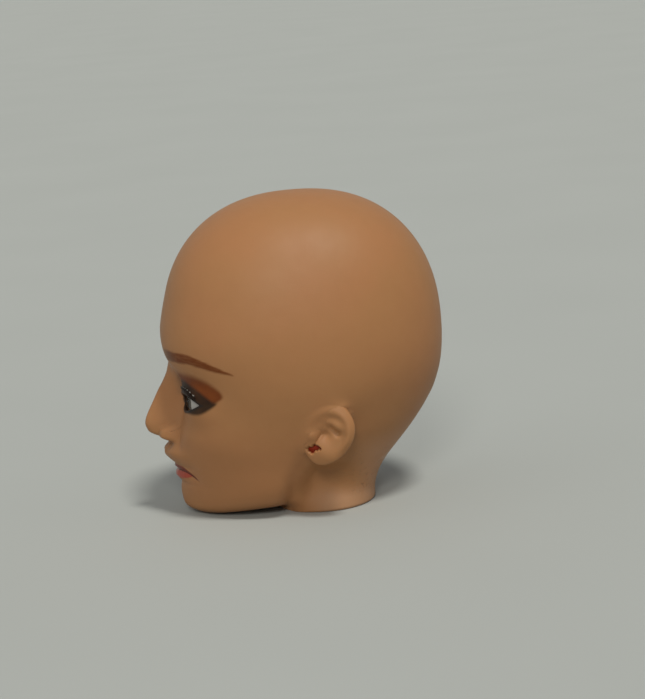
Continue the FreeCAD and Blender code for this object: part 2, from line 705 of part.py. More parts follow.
# Head shell: outside less the cavity, which leaves the neck's collar and the two eye sockets standing
below = bound("Part::Box", "below_rest_plane", {
    "Length": "2 * sizes.head_width", "Width": "2 * sizes.head_depth", "Height": "sizes.head_height",
    "Placement.Base.x": "-sizes.head_width", "Placement.Base.y": "-sizes.head_depth",
    "Placement.Base.z": "-sizes.head_height"})
collar = upright_cylinder("neck_collar", "sizes.collar_radius", "-sizes.overrun",
                          "sizes.collar_height + sizes.flange_guard + sizes.overrun")
bore = upright_cylinder("neck_bore", "sizes.insert_radius", "-sizes.overrun",
                        "sizes.collar_height + 2 * sizes.overrun")
room = upright_cylinder("flange_space", "sizes.flange_radius + sizes.flange_clearance",
                        "sizes.collar_height", "sizes.flange_guard + sizes.overrun")
outside = fused("outside_form", outside_forms)
hollow_space = cut("hollow_space", cavity, fused("standing_in_cavity", cavity_keeps + [collar]))
walls = cut("walls", outside, hollow_space)
shell = cut("head_shell", walls, fused("shell_cuts", cuts + [bore, room, below]))
parts.append(shell)
doc.recompute()

for item in doc.Objects:
    if {"Invalid", "Error"} & set(item.State):
        raise RuntimeError("%s failed: %s" % (item.Name, item.State))
os.makedirs("parts", exist_ok=True)
for item in parts:
    item.Label = item.Name
    shape = item.Shape
    if shape.isNull() or not shape.isValid() or len(shape.Solids) != 1:
        raise RuntimeError("%s is not one valid solid: %d" % (item.Name, len(shape.Solids)))
for item in parts:
    item.Shape.exportStep("parts/%s.step" % item.Label)
    box = item.Shape.BoundBox
    print("%-18s volume %9.3f  x %7.2f %7.2f  y %7.2f %7.2f  z %6.2f %6.2f" % (
        item.Label, item.Shape.Volume, box.XMin, box.XMax, box.YMin, box.YMax, box.ZMin, box.ZMax))
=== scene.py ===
"""Looks of a fashion doll head: soft vinyl skin with painted make-up, inset eyes, lashes and neck fittings.

The shapes are worked out in millimetres, in the part's frame: +Z up, the face looks along -Y and the doll's
left side is +X. Each mesh is written in metres. A share is of the head's width, depth or height.
"""

import bpy
import numpy as np
from mathutils import Matrix, Vector


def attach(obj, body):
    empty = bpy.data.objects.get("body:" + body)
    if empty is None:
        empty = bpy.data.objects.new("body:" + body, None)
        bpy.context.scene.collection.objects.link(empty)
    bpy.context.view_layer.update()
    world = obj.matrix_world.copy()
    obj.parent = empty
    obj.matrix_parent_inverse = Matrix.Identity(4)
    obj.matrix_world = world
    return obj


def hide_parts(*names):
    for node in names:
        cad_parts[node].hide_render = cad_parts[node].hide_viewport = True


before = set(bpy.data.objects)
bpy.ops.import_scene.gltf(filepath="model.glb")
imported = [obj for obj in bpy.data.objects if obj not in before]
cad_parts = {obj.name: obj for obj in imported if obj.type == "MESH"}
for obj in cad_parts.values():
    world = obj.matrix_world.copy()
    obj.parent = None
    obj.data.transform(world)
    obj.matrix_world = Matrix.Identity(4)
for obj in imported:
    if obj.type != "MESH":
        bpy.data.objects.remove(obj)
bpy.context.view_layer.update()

MM = 0.001
WIDTH, DEPTH, HEIGHT = 28.0, 38.0, 39.4
# Middle of the left eye; radii round it of the lower lid, of the upper lid's overhang and of the socket
EYE = np.array([5.7, -12.6, 15.2])
LOWER_LID_RADIUS, LID_OVERHANG, SOCKET_RADIUS = 4.14, 0.22, 4.0
UPPER_LID_START = 14.6
SOCKET_END = -8.7
# Where the rays start that find the outside and the cavity, and a plane ahead of the face
RAY_START = np.array([0.0, -2.5, 18.0])
AHEAD_OF_FACE = -26.0

# Skull: its middle and halves as shares, and its power high up, which drops lower down
SKULL_MIDDLE, SKULL_HALF = (-0.033, 0.556), (0.493, 0.455, 0.443)
SKULL_POWER, SKULL_POWER_DROP = 2.3, 0.25
# Face column: its middle from front to back and its top as shares, and the jaw's underside
FACE_MIDDLE, FACE_MIDDLE_SHIFT, FACE_TOP = -0.18, 0.151, 0.685
JAW_SLOPE, JAW_ROUND, JAW_START = 0.06, 0.62, 0.395
# Roundings between skull and face, face and its underside, and the tops of face and neck
SKULL_ROUNDING, JAW_ROUNDING, FACE_TOP_ROUNDING, NECK_ROUNDING = 2.6, 3.0, 8.0, 3.0
NECK_FRONT, NECK_TOP = 0.163, 0.355
LID_ROUNDING = 1.8
# Where relief fades from the front to the sides, as shares of the depth
RELIEF_EDGE, RELIEF_FADE = -0.224, 0.024

# Curves of the head against height, both as shares
FACE_FRONT = ((-0.076, -0.395), (0.0, -0.447), (0.03, -0.466), (0.058, -0.472), (0.102, -0.475),
              (0.152, -0.482), (0.228, -0.493), (0.305, -0.482), (0.381, -0.463), (0.47, -0.453),
              (0.546, -0.474), (0.635, -0.48), (0.711, -0.458), (0.787, -0.408))
FACE_HALF = ((-0.076, 0.243), (0.0, 0.271), (0.076, 0.311), (0.152, 0.35), (0.254, 0.404),
             (0.355, 0.439), (0.457, 0.457), (0.558, 0.468), (0.711, 0.457))
FACE_POWER = ((-0.051, 1.6), (0.051, 1.62), (0.152, 1.85), (0.254, 2.1), (0.355, 2.3), (0.508, 2.35),
              (0.66, 2.4))
JAW_REAR = ((-0.051, 0.092), (0.102, 0.122), (0.203, 0.165), (0.305, 0.222), (0.406, 0.316), (0.685, 0.368))
NOSE_HEIGHT = ((0.228, 0.0), (0.244, 0.007), (0.254, 0.025), (0.263, 0.052), (0.272, 0.071), (0.284, 0.082),
               (0.297, 0.0895), (0.312, 0.0915), (0.33, 0.088), (0.355, 0.0775), (0.381, 0.0625),
               (0.406, 0.046), (0.431, 0.028), (0.457, 0.0155), (0.482, 0.0105), (0.508, 0.001),
               (0.54, -0.0095), (0.58, -0.006), (0.62, 0.0))
NOSE_HALF = ((0.223, 0.060), (0.244, 0.063), (0.259, 0.055), (0.279, 0.049), (0.305, 0.048), (0.33, 0.046),
             (0.381, 0.042), (0.431, 0.042), (0.482, 0.054), (0.533, 0.079))
NECK_BACK = ((-0.051, 0.161), (0.0, 0.166), (0.03, 0.165), (0.094, 0.178), (0.173, 0.212), (0.246, 0.249),
             (0.305, 0.279), (0.355, 0.3))
NECK_HALF = ((-0.051, 0.248), (0.0, 0.248), (0.025, 0.244), (0.066, 0.230), (0.100, 0.226), (0.140, 0.232),
             (0.203, 0.26), (0.279, 0.307))
# How far the mouth is set back at each height, in mm
MOUTH_SETBACK = ((0.8, 0.0), (1.4, 0.14), (2.1, 0.26), (2.8, 0.27), (3.3, 0.20), (3.75, 0.14), (4.2, 0.26),
                 (4.7, 0.22), (5.1, 0.27), (5.5, 0.42), (5.8, 0.47), (6.14, 0.46), (6.4, 0.51), (6.62, 0.52),
                 (6.87, 0.33), (7.18, 0.07), (7.5, -0.15), (7.85, -0.39), (8.1, -0.48), (8.3, -0.50),
                 (8.5, -0.46), (8.8, -0.31), (9.0, -0.19), (9.25, -0.08), (9.6, 0.0))
# Mounds of the face: across, up, spread across, spread up (shares), turn in degrees, stand (share)
MOUNDS = ((0.179, 0.528, 0.136, 0.036, -6, 0.005), (0.121, 0.429, 0.054, 0.043, 0, -0.018),
          (0.229, 0.444, 0.096, 0.040, -8, -0.016), (0.214, 0.327, 0.093, 0.025, 0, -0.009),
          (0.286, 0.302, 0.093, 0.051, -20, 0.013), (0.143, 0.279, 0.046, 0.051, 25, -0.006),
          (0.132, 0.276, 0.012, 0.030, 12, -0.010),
          (0.000, 0.497, 0.079, 0.032, 0, -0.018), (0.000, 0.173, 0.114, 0.051, 0, 0.013),
          (0.000, 0.213, 0.016, 0.020, 0, -0.004), (0.032, 0.208, 0.0125, 0.023, 0, 0.004),
          (0.000, 0.105, 0.071, 0.015, 0, -0.008), (0.168, 0.137, 0.025, 0.025, 0, -0.005),
          (0.000, 0.058, 0.086, 0.030, 0, 0.005), (0.052, 0.238, 0.017, 0.009, 0, -0.012),
          (0.118, 0.384, 0.040, 0.042, 0, -0.017), (0.182, 0.362, 0.062, 0.026, 0, -0.011))
# Nose wing: middle across and up, halves and stand
WING_MIDDLE, WING_HALF, WING_STAND = (2.0, 10.9), (1.15, 1.0), 1.75
# Mouth line: its height, the dip in its middle, and the fall to its corners with its start, run and power
MOUTH_HEIGHT, DIP, DIP_HALF = 5.93, 0.05, 0.7
CORNER_FALL, FALL_START, FALL_RUN, FALL_POWER = 0.66, 2.5, 2.0, 2.2
# Upper lip, lower lip and the groove between: stand, half width, its power, height above the line, spread
LIP_RIDGES = ((0.18, 3.6, 4, 0.36, 0.24), (0.25, 3.0, 4, -0.68, 0.44), (-0.30, 4.48, 6, 0.0, 0.18))


# Shape: distances and curves

def low(first, second, radius):
    """Smaller of two distances, rounded by a cubic where they are nearer than radius."""
    near = np.clip(radius - np.abs(first - second), 0, None) / radius
    return np.minimum(first, second) - near ** 3 * radius / 6


def high(first, second, radius):
    """Larger of two distances, rounded the same way."""
    return -low(-first, -second, radius)


def ease(share):
    """3s^2 - 2s^3, from 0 to 1 with level ends."""
    share = np.clip(share, 0, 1)
    return share * share * (3 - 2 * share)


def curve(place, table):
    """Cubic Hermite curve through a table, its slopes the weighted means of the runs on both sides."""
    x, y = np.array(table, float).T
    run, rise = np.diff(x), np.diff(y)
    slope = np.zeros(len(x))
    slope[1:-1] = (rise[1:] / run[1:] * run[:-1] + rise[:-1] / run[:-1] * run[1:]) / (run[1:] + run[:-1])
    place = np.clip(place, x[0], x[-1])
    i = np.clip(np.searchsorted(x, place) - 1, 0, len(x) - 2)
    h = run[i]
    s = (place - x[i]) / h
    return ((2 * s ** 3 - 3 * s ** 2 + 1) * y[i] + (s ** 3 - 2 * s ** 2 + s) * h * slope[i]
            + (3 * s ** 2 - 2 * s ** 3) * y[i + 1] + (s ** 3 - s ** 2) * h * slope[i + 1])


def plain_head(x, y, z):
    """Skull, a superellipsoid, blended with the face, a column of superellipses closed by jaw and brow."""
    share = z / HEIGHT
    power = SKULL_POWER - SKULL_POWER_DROP * ease((0.56 - share) / 0.25)
    skull = (np.abs(x / WIDTH / SKULL_HALF[0]) ** power
             + np.abs((y / DEPTH - SKULL_MIDDLE[0]) / SKULL_HALF[1]) ** power
             + np.abs((share - SKULL_MIDDLE[1]) / SKULL_HALF[2]) ** power) ** (1 / power)
    skull = (skull - 1) * 0.413 * HEIGHT
    half = WIDTH * curve(share, FACE_HALF)
    middle = DEPTH * (FACE_MIDDLE_SHIFT * ease(share / 0.533) + FACE_MIDDLE)
    reach = np.where(y < middle, middle - DEPTH * curve(share, FACE_FRONT), DEPTH * curve(share, JAW_REAR))
    power = curve(share, FACE_POWER)
    face = (np.abs(x) / half) ** power + (np.abs(y - middle) / reach) ** power
    face = (face ** (1 / power) - 1) * half * 0.8
    under = JAW_SLOPE * np.clip(y + JAW_START * DEPTH, 0, None) - 0.005 * HEIGHT + JAW_ROUND * x ** 2 / WIDTH
    face = high(face, under - z, JAW_ROUNDING)
    face = high(face, z - FACE_TOP * HEIGHT, FACE_TOP_ROUNDING)
    return low(skull, face, SKULL_ROUNDING)


def neck_distance(x, y, z):
    """Oval neck stub, deeper behind the axis than in front of it."""
    share = z / HEIGHT
    across = WIDTH * curve(share, NECK_HALF)
    along = np.where(y > 0, DEPTH * curve(share, NECK_BACK), NECK_FRONT * DEPTH)
    return high((np.hypot(x / across, y / along) - 1) * across, z - NECK_TOP * HEIGHT, NECK_ROUNDING)


def mouth_line(x):
    """Height of the line between the lips: level, with a small Gaussian dip, and a fall to the corners."""
    fall = CORNER_FALL * (np.clip(x - FALL_START, 0, None) / FALL_RUN) ** FALL_POWER
    return MOUTH_HEIGHT - DIP * np.exp(-(x / DIP_HALF) ** 2) - fall


def relief(x, z):
    """How far nose, lips and soft mounds stand out: Gaussian mounds, a nose ridge with wings and two lips."""
    share = z / HEIGHT
    out = DEPTH * curve(share, NOSE_HEIGHT) * np.exp(-0.7 * (x / (WIDTH * curve(share, NOSE_HALF))) ** 2.2)
    wing = WING_STAND * np.exp(-((x - WING_MIDDLE[0]) / WING_HALF[0]) ** 4
                               - ((z - WING_MIDDLE[1]) / WING_HALF[1]) ** 4)
    out = high(out, wing, 0.5) * (1 - ease((z - 22) / 3)) - curve(z, MOUTH_SETBACK) * np.exp(-(x / 4.8) ** 4)
    for across, up, spread_across, spread_up, turn, stand in MOUNDS:
        angle = np.radians(turn)
        right, above = x - across * WIDTH, z - up * HEIGHT
        u = (right * np.cos(angle) + above * np.sin(angle)) / (spread_across * WIDTH)
        v = (above * np.cos(angle) - right * np.sin(angle)) / (spread_up * HEIGHT)
        out = out + stand * DEPTH * np.exp(-0.5 * (u * u + v * v))
    above_line = z - mouth_line(x)
    for stand, half, power, height, spread in LIP_RIDGES:
        out = out + stand * np.exp(-(x / half) ** power - 0.5 * ((above_line - height) / spread) ** 2)
    return out


# Ear frame: the ear leans back at its top and flares away from the skull at its rear edge
LEAN, FLARE = np.radians([28, 20])
TO_REAR = np.array([np.sin(FLARE), np.cos(FLARE), 0.0])
EAR_OUT = np.array([np.cos(FLARE), -np.sin(FLARE), 0.0])
EAR_ACROSS = TO_REAR * np.cos(LEAN) - np.array([0, 0, 1.0]) * np.sin(LEAN)
EAR_ALONG = np.array([0, 0, 1.0]) * np.cos(LEAN) + TO_REAR * np.sin(LEAN)
EAR_MIDDLE = np.array([12.1, 0.05, 10.95])
# Half width and height, how much wider the top is, plate thickness, helix and the fillet's width
EAR_HALF, EAR_TAPER = (3.0, 3.95), 0.15
PLATE_FRONT, PLATE_BACK, HELIX_STAND, HELIX_RING, HELIX_SPREAD = 0.30, 1.3, 0.42, 0.83, 0.17
EAR_BLEND = 1.7
# Ridge, lobe, tragus and bowl: stand, middle across and along, halves
EAR_MOUNDS = ((0.26, 0.55, 1.75, 1.3, 0.75), (0.34, 0.5, -2.2, 1.5, 1.3),
              (0.52, -1.75, -0.75, 0.62, 0.85), (-0.55, -0.40, 0.0, 0.80, 0.75))
# Grooves of the ear: start, end, depth and spread
EAR_GROOVES = (((1.45, 2.42), (-0.95, 2.25), 0.10, 0.58), ((-1.35, 1.28), (-0.1, 1.10), 0.20, 0.40),
               ((-0.2, 1.12), (1.0, 0.80), 0.40, 0.40), ((-0.98, -1.45), (-0.92, -0.10), 0.34, 0.17))
# Dent of the skin behind the torn earring hole, so that none shows through it
DENT_MIDDLE, DENT_RADIUS, DENT_DEPTH = (-0.95, -2.3), 0.98, 1.1
# Torn earring hole: its depth, and the middle across and along and the radius of each disc
HOLE_DEPTH = 0.75
HOLE_SPOTS = ((-1.30, -2.50, 0.43), (-0.95, -2.28, 0.40), (-0.62, -2.02, 0.38), (-1.04, -1.82, 0.20),
              (-0.24, -1.86, 0.20), (-0.92, -2.72, 0.26))


def groove(u, v, start, end, depth, spread):
    """Gaussian groove along the segment from start to end."""
    run = np.subtract(end, start)
    along = np.clip(((u - start[0]) * run[0] + (v - start[1]) * run[1]) / (run @ run), 0, 1)
    gap = np.hypot(u - start[0] - along * run[0], v - start[1] - along * run[1])
    return depth * (0.45 + 0.55 * along) * np.exp(-(gap / spread) ** 2)


def torn_hole(u, v):
    """1 inside the torn earring hole, a union of uneven discs, and 0 outside."""
    discs = [radius - np.hypot(u - across, v - along) for across, along, radius in HOLE_SPOTS]
    inside = np.max(discs, axis=0)
    inside = inside + 0.05 * np.sin(9 * u + 4 * v) * np.cos(8 * v - 3 * u)
    return ease(inside / 0.18 + 0.5)


def ear_front(ring, turn, u, v):
    """Height of the ear's face: rounded plate, helix as a Gaussian ridge, bowl, tragus, lobe and grooves."""
    upper = ease((np.cos(turn - 1.45) + 0.55) / 0.9)
    face = PLATE_FRONT + HELIX_STAND * np.exp(-((ring - HELIX_RING) / HELIX_SPREAD) ** 2) * upper
    for stand, across, along, half_across, half_along in EAR_MOUNDS:
        face = face + stand * np.exp(-((u - across) / half_across) ** 2 - ((v - along) / half_along) ** 2)
    for start, end, depth, spread in EAR_GROOVES:
        face = face - groove(u, v, start, end, depth, spread)
    edge = np.sqrt(np.clip(1 - ring ** 6, 0, 1))
    return face * edge - HOLE_DEPTH * torn_hole(u, v)


def ear_back(ring):
    """Height of the ear's back: a rounded plate that thins out to the outline."""
    return -PLATE_BACK * np.sqrt(np.clip(1 - ring ** 2.4, 0, 1))


def ear_place(p):
    """Across, along and out of the left ear's plane, with the ring and turn of its outline."""
    q = p - EAR_MIDDLE
    u, v, out = q @ EAR_ACROSS, q @ EAR_ALONG, q @ EAR_OUT
    up = v / EAR_HALF[1]
    ring = np.hypot(u / EAR_HALF[0], up) + 1e-9
    for step in range(2):
        ring = np.hypot(u / (EAR_HALF[0] * (1 + EAR_TAPER * up / ring)), up) + 1e-9
    turn = np.arctan2(up, u / (EAR_HALF[0] * (1 + EAR_TAPER * up / ring)))
    return u, v, out, ring, turn


def ear_distance(p):
    """Rough distance from the left ear."""
    u, v, out, ring, turn = ear_place(p)
    slab = np.maximum(out - ear_front(np.minimum(ring, 1), turn, u, v), ear_back(np.minimum(ring, 1)) - out)
    beside = np.hypot(np.clip(ring - 1, 0, None) * 3.4, out)
    return np.where(ring < 1, slab, beside)


def fillet(gap):
    """How far a surface moves out near another one, so that both meet in a rounded corner."""
    return EAR_BLEND / 6 * (1 - np.clip(gap / EAR_BLEND, 0, 1)) ** 3


def skin_distance(p, ears=True):
    """Distance from the skin, lids closed: plain head moved by the relief, neck, lids and ear fillets."""
    x, y, z = np.abs(p[..., 0]), p[..., 1], p[..., 2]
    front = 1 / (1 + np.exp(np.clip((y / DEPTH - RELIEF_EDGE) / RELIEF_FADE, -40, 40)))
    skin = plain_head(x, y + relief(x, z) * front, z)
    # the neck grows out softly at its back, tightly below the ear and softly again behind the jaw
    below_ear = ease((7.6 - z) / 2.5)
    neck_blend = 0.8 + 5.6 * ease((y + 6.0) / 4) - 4.2 * np.exp(-((y + 0.2) / 2.3) ** 2) * below_ear
    neck_blend = neck_blend + 3.2 * np.exp(-((y + 3.8) / 1.5) ** 2) * below_ear * ease(z / 2)
    skin = low(skin, neck_distance(x, y, z), neck_blend)
    lids = np.sqrt((x - EYE[0]) ** 2 + (y - EYE[1]) ** 2 + (z - EYE[2]) ** 2)
    lids = lids - LOWER_LID_RADIUS - LID_OVERHANG * ease((z - UPPER_LID_START) / 2.0)
    skin = low(skin, lids, LID_ROUNDING)
    if ears:
        q = np.stack([x, y, z], -1)
        near = (x > 7) & (np.abs(y) < 9) & (z > 2) & (z < 20)
        gap = ear_distance(q[near])
        u, v = ear_place(q[near])[:2]
        dent = DENT_DEPTH * ease((DENT_RADIUS - np.hypot(u - DENT_MIDDLE[0], v - DENT_MIDDLE[1])) / 0.3)
        skin[near] += dent - fillet(gap - skin[near])
    return skin


def found(field, start, rays, inner, outer, steps=26):
    """Points on rays where the field turns from negative to positive, by halving."""
    inner = np.broadcast_to(np.asarray(inner, float), rays.shape[:-1]).copy()
    outer = np.broadcast_to(np.asarray(outer, float), rays.shape[:-1]).copy()
    for step in range(steps):
        reach = (inner + outer) / 2
        inside = field(start + rays * reach[..., None]) < 0
        inner = np.where(inside, reach, inner)
        outer = np.where(inside, outer, reach)
    return start + rays * ((inner + outer) / 2)[..., None]


def ray(turn, rise):
    """Direction at a turn from the face about the upright axis, and a rise above the level."""
    return np.stack([np.sin(turn) * np.cos(rise), -np.cos(turn) * np.cos(rise), np.sin(rise)], -1)


# Meshes

def grid_faces(rows, columns):
    """Quads between neighbouring rows of a grid whose rows are closed rings."""
    row, column = np.meshgrid(np.arange(rows - 1), np.arange(columns), indexing="ij")
    after = (column + 1) % columns
    corners = (row * columns + column, row * columns + after, (row + 1) * columns + after,
               (row + 1) * columns + column)
    return np.stack(corners, -1)


def fan(ring, pole):
    """Triangles from a ring of vertex numbers to one vertex."""
    return np.stack([ring, np.roll(ring, -1), np.full(len(ring), pole)], -1)


def mesh_piece(name, points, quads, triangles):
    """Object at the origin from points in mm and whole arrays of quads and triangles."""
    quads = np.asarray(quads, int).reshape(-1, 4)
    triangles = np.asarray(triangles, int).reshape(-1, 3)
    mesh = bpy.data.meshes.new(name)
    mesh.vertices.add(len(points))
    mesh.vertices.foreach_set("co", (np.asarray(points, float) * MM).astype(np.float32).ravel())
    mesh.loops.add(quads.size + triangles.size)
    corners = np.concatenate([quads.ravel(), triangles.ravel()])
    mesh.loops.foreach_set("vertex_index", corners.astype(np.int32))
    starts = np.concatenate([np.arange(len(quads)) * 4, quads.size + np.arange(len(triangles)) * 3])
    mesh.polygons.add(len(starts))
    mesh.polygons.foreach_set("loop_start", starts.astype(np.int32))
    mesh.update(calc_edges=True)
    mesh.validate()
    mesh.polygons.foreach_set("use_smooth", np.full(len(mesh.polygons), True))
    piece = bpy.data.objects.new(name, mesh)
    bpy.context.scene.collection.objects.link(piece)
    return piece


# Head skin: outside, rim, neck hole, cavity and the two eye openings in one closed surface

COLUMNS, ROWS = 300, 214
# Wall of the head, and the outside radius and length behind the eye's middle of a socket's wall
WALL, SOCKET_OUTSIDE, SOCKET_LENGTH = 1.9, 5.1, 4.2
# Neck bore, the room for its insert's flange above it, and the collar's top: radii and heights of the rings
BORE, FLANGE_ROOM, FLANGE_BASE, COLLAR_TOP = 4.21, 5.36, 7.19, 9.8
BORE_PROFILE = ((BORE + 0.2, 0.0), (BORE + 0.09, 0.03), (BORE + 0.03, 0.09), (BORE, 0.2),
                (BORE, FLANGE_BASE - 0.14), (BORE, FLANGE_BASE), (BORE + 0.14, FLANGE_BASE),
                (FLANGE_ROOM - 0.11, FLANGE_BASE), (FLANGE_ROOM, FLANGE_BASE),
                (FLANGE_ROOM, FLANGE_BASE + 0.21), (FLANGE_ROOM, COLLAR_TOP - 0.1),
                (FLANGE_ROOM + 0.06, COLLAR_TOP),
                (FLANGE_ROOM + 0.58, COLLAR_TOP), (FLANGE_ROOM + 0.64, COLLAR_TOP - 0.05))
# Corners across and ahead, and heights, of the window in the skin's grid that an eye's patch fills
WINDOW_ACROSS, WINDOW_AHEAD, WINDOW_TOP, WINDOW_BASE = (2.0, 10.6), (13.4, 8.6), 19.4, 11.7
# Lens: half width, sphere radius, and its front and back ahead of the eye's middle
LENS_HALF, LENS_RADIUS, EYE_FRONT, LENS_BACK = 1.97, 3.75, 3.92, 2.94
# Almond opening of the eye: middle, tilt, half length, rise and drop of its arcs, and the lid's thick edge
LID_EDGE = 0.17
SLIT_MIDDLE, SLIT_TILT, SLIT_HALF, SLIT_OVER, SLIT_UNDER = (6.35, 15.2), np.radians(5.3), 2.88, 1.24, 0.80
SLIT_TURN = np.array([[np.cos(SLIT_TILT), np.sin(SLIT_TILT)], [-np.sin(SLIT_TILT), np.cos(SLIT_TILT)]])
OVER_RADIUS = (SLIT_HALF ** 2 + SLIT_OVER ** 2) / (2 * SLIT_OVER)
UNDER_RADIUS = (SLIT_HALF ** 2 + SLIT_UNDER ** 2) / (2 * SLIT_UNDER)


def slit_gap(x, z):
    """Distance outside the tilted almond between two arcs, negative inside."""
    u, v = SLIT_TURN @ np.stack([x - SLIT_MIDDLE[0], z - SLIT_MIDDLE[1]])
    over = np.hypot(u, v + OVER_RADIUS - SLIT_OVER) - OVER_RADIUS
    under = np.hypot(u, v - UNDER_RADIUS + SLIT_UNDER) - UNDER_RADIUS
    return np.maximum(over, under)


def skin_behind(x, z):
    """Points of the skin straight behind places of a plane ahead of the face."""
    start = np.stack([x, np.full(len(x), AHEAD_OF_FACE), z], -1)
    toward = np.broadcast_to([0.0, 1.0, 0.0], start.shape)
    return found(lambda p: -skin_distance(p, False), start, toward, 0.0, 20.0)


def eye_patch(loop_points):
    """Rings from a loop on the skin in to the almond, round the lid's edge and back round the eye socket.

    The rings between loop and almond mix their places across and up, and lie on the skin along Y.
    """
    centre = np.array(SLIT_MIDDLE)
    flat = loop_points[:, [0, 2]]
    arm = flat - centre
    aim = arm / np.linalg.norm(arm, axis=1)[:, None]
    inner, outer = np.zeros(len(aim)), np.full(len(aim), 4.2)
    for step in range(30):
        reach = (inner + outer) / 2
        inside = slit_gap(*(centre + aim * reach[:, None]).T) < 0
        inner, outer = np.where(inside, reach, inner), np.where(inside, outer, reach)
    almond = centre + aim * reach[:, None]
    rings = []
    for share in 1 - (1 - np.linspace(0, 1, 25)[1:]) ** 1.3:
        place = flat * (1 - share) + (almond + aim * LID_EDGE) * share
        rings.append(skin_behind(place[:, 0], place[:, 1]))
    outside = rings[-1][:, 1]
    spot = rings[-1][:, [0, 2]] - EYE[[0, 2]]
    inside = EYE[1] - np.sqrt(np.clip(SOCKET_RADIUS ** 2 - (spot ** 2).sum(1), 0.3, None))
    for angle in np.radians([30, 60, 90, 120, 150, 180]):
        place = almond + aim * LID_EDGE * (1 - np.sin(angle))
        y = (outside + inside) / 2 - (inside - outside) / 2 * np.cos(angle)
        rings.append(np.stack([place[:, 0], y, place[:, 1]], -1))
    lean = np.arcsin(np.clip(np.linalg.norm(spot, axis=1) / SOCKET_RADIUS, 0, 0.99))
    side = spot / np.linalg.norm(spot, axis=1)[:, None]
    for share in np.linspace(0, 1, 7)[1:]:
        angle = lean + (np.pi / 2 - lean) * share
        out = side * (SOCKET_RADIUS * np.sin(angle))[:, None]
        y = EYE[1] - SOCKET_RADIUS * np.cos(angle)
        rings.append(np.stack([EYE[0] + out[:, 0], y, EYE[2] + out[:, 1]], -1))
    for y in (SOCKET_END - 1.9, SOCKET_END - 0.02):
        rings.append(np.stack([rings[-1][:, 0], np.full(len(side), y), rings[-1][:, 2]], -1))
    return rings, np.array([EYE[0], SOCKET_END, EYE[2]])


def cavity_distance(p):
    """Distance from the hollow inside: the plain head less its wall and the walls of the eye sockets."""
    x, y, z = np.abs(p[..., 0]), p[..., 1], p[..., 2]
    across, up = x - EYE[0], z - EYE[2]
    dome = np.sqrt(across ** 2 + (y - EYE[1]) ** 2 + up ** 2)
    tube = np.maximum(np.hypot(across, up) - SOCKET_OUTSIDE, y - EYE[1] - SOCKET_LENGTH)
    socket = np.where(y > EYE[1], tube, dome - SOCKET_OUTSIDE)
    return np.maximum(plain_head(x, y, z) + WALL, -socket)


def first_found(field, start, rays, reach):
    """Points where each ray first leaves the field's inside, by even steps and then halving."""
    steps = np.linspace(0.5, reach, 64)
    outside = np.stack([field(start + rays * step) > 0 for step in steps])
    at = np.where(outside.any(0), outside.argmax(0), len(steps) - 1)
    return found(field, start, rays, steps[np.maximum(at - 1, 0)], steps[at], 16)


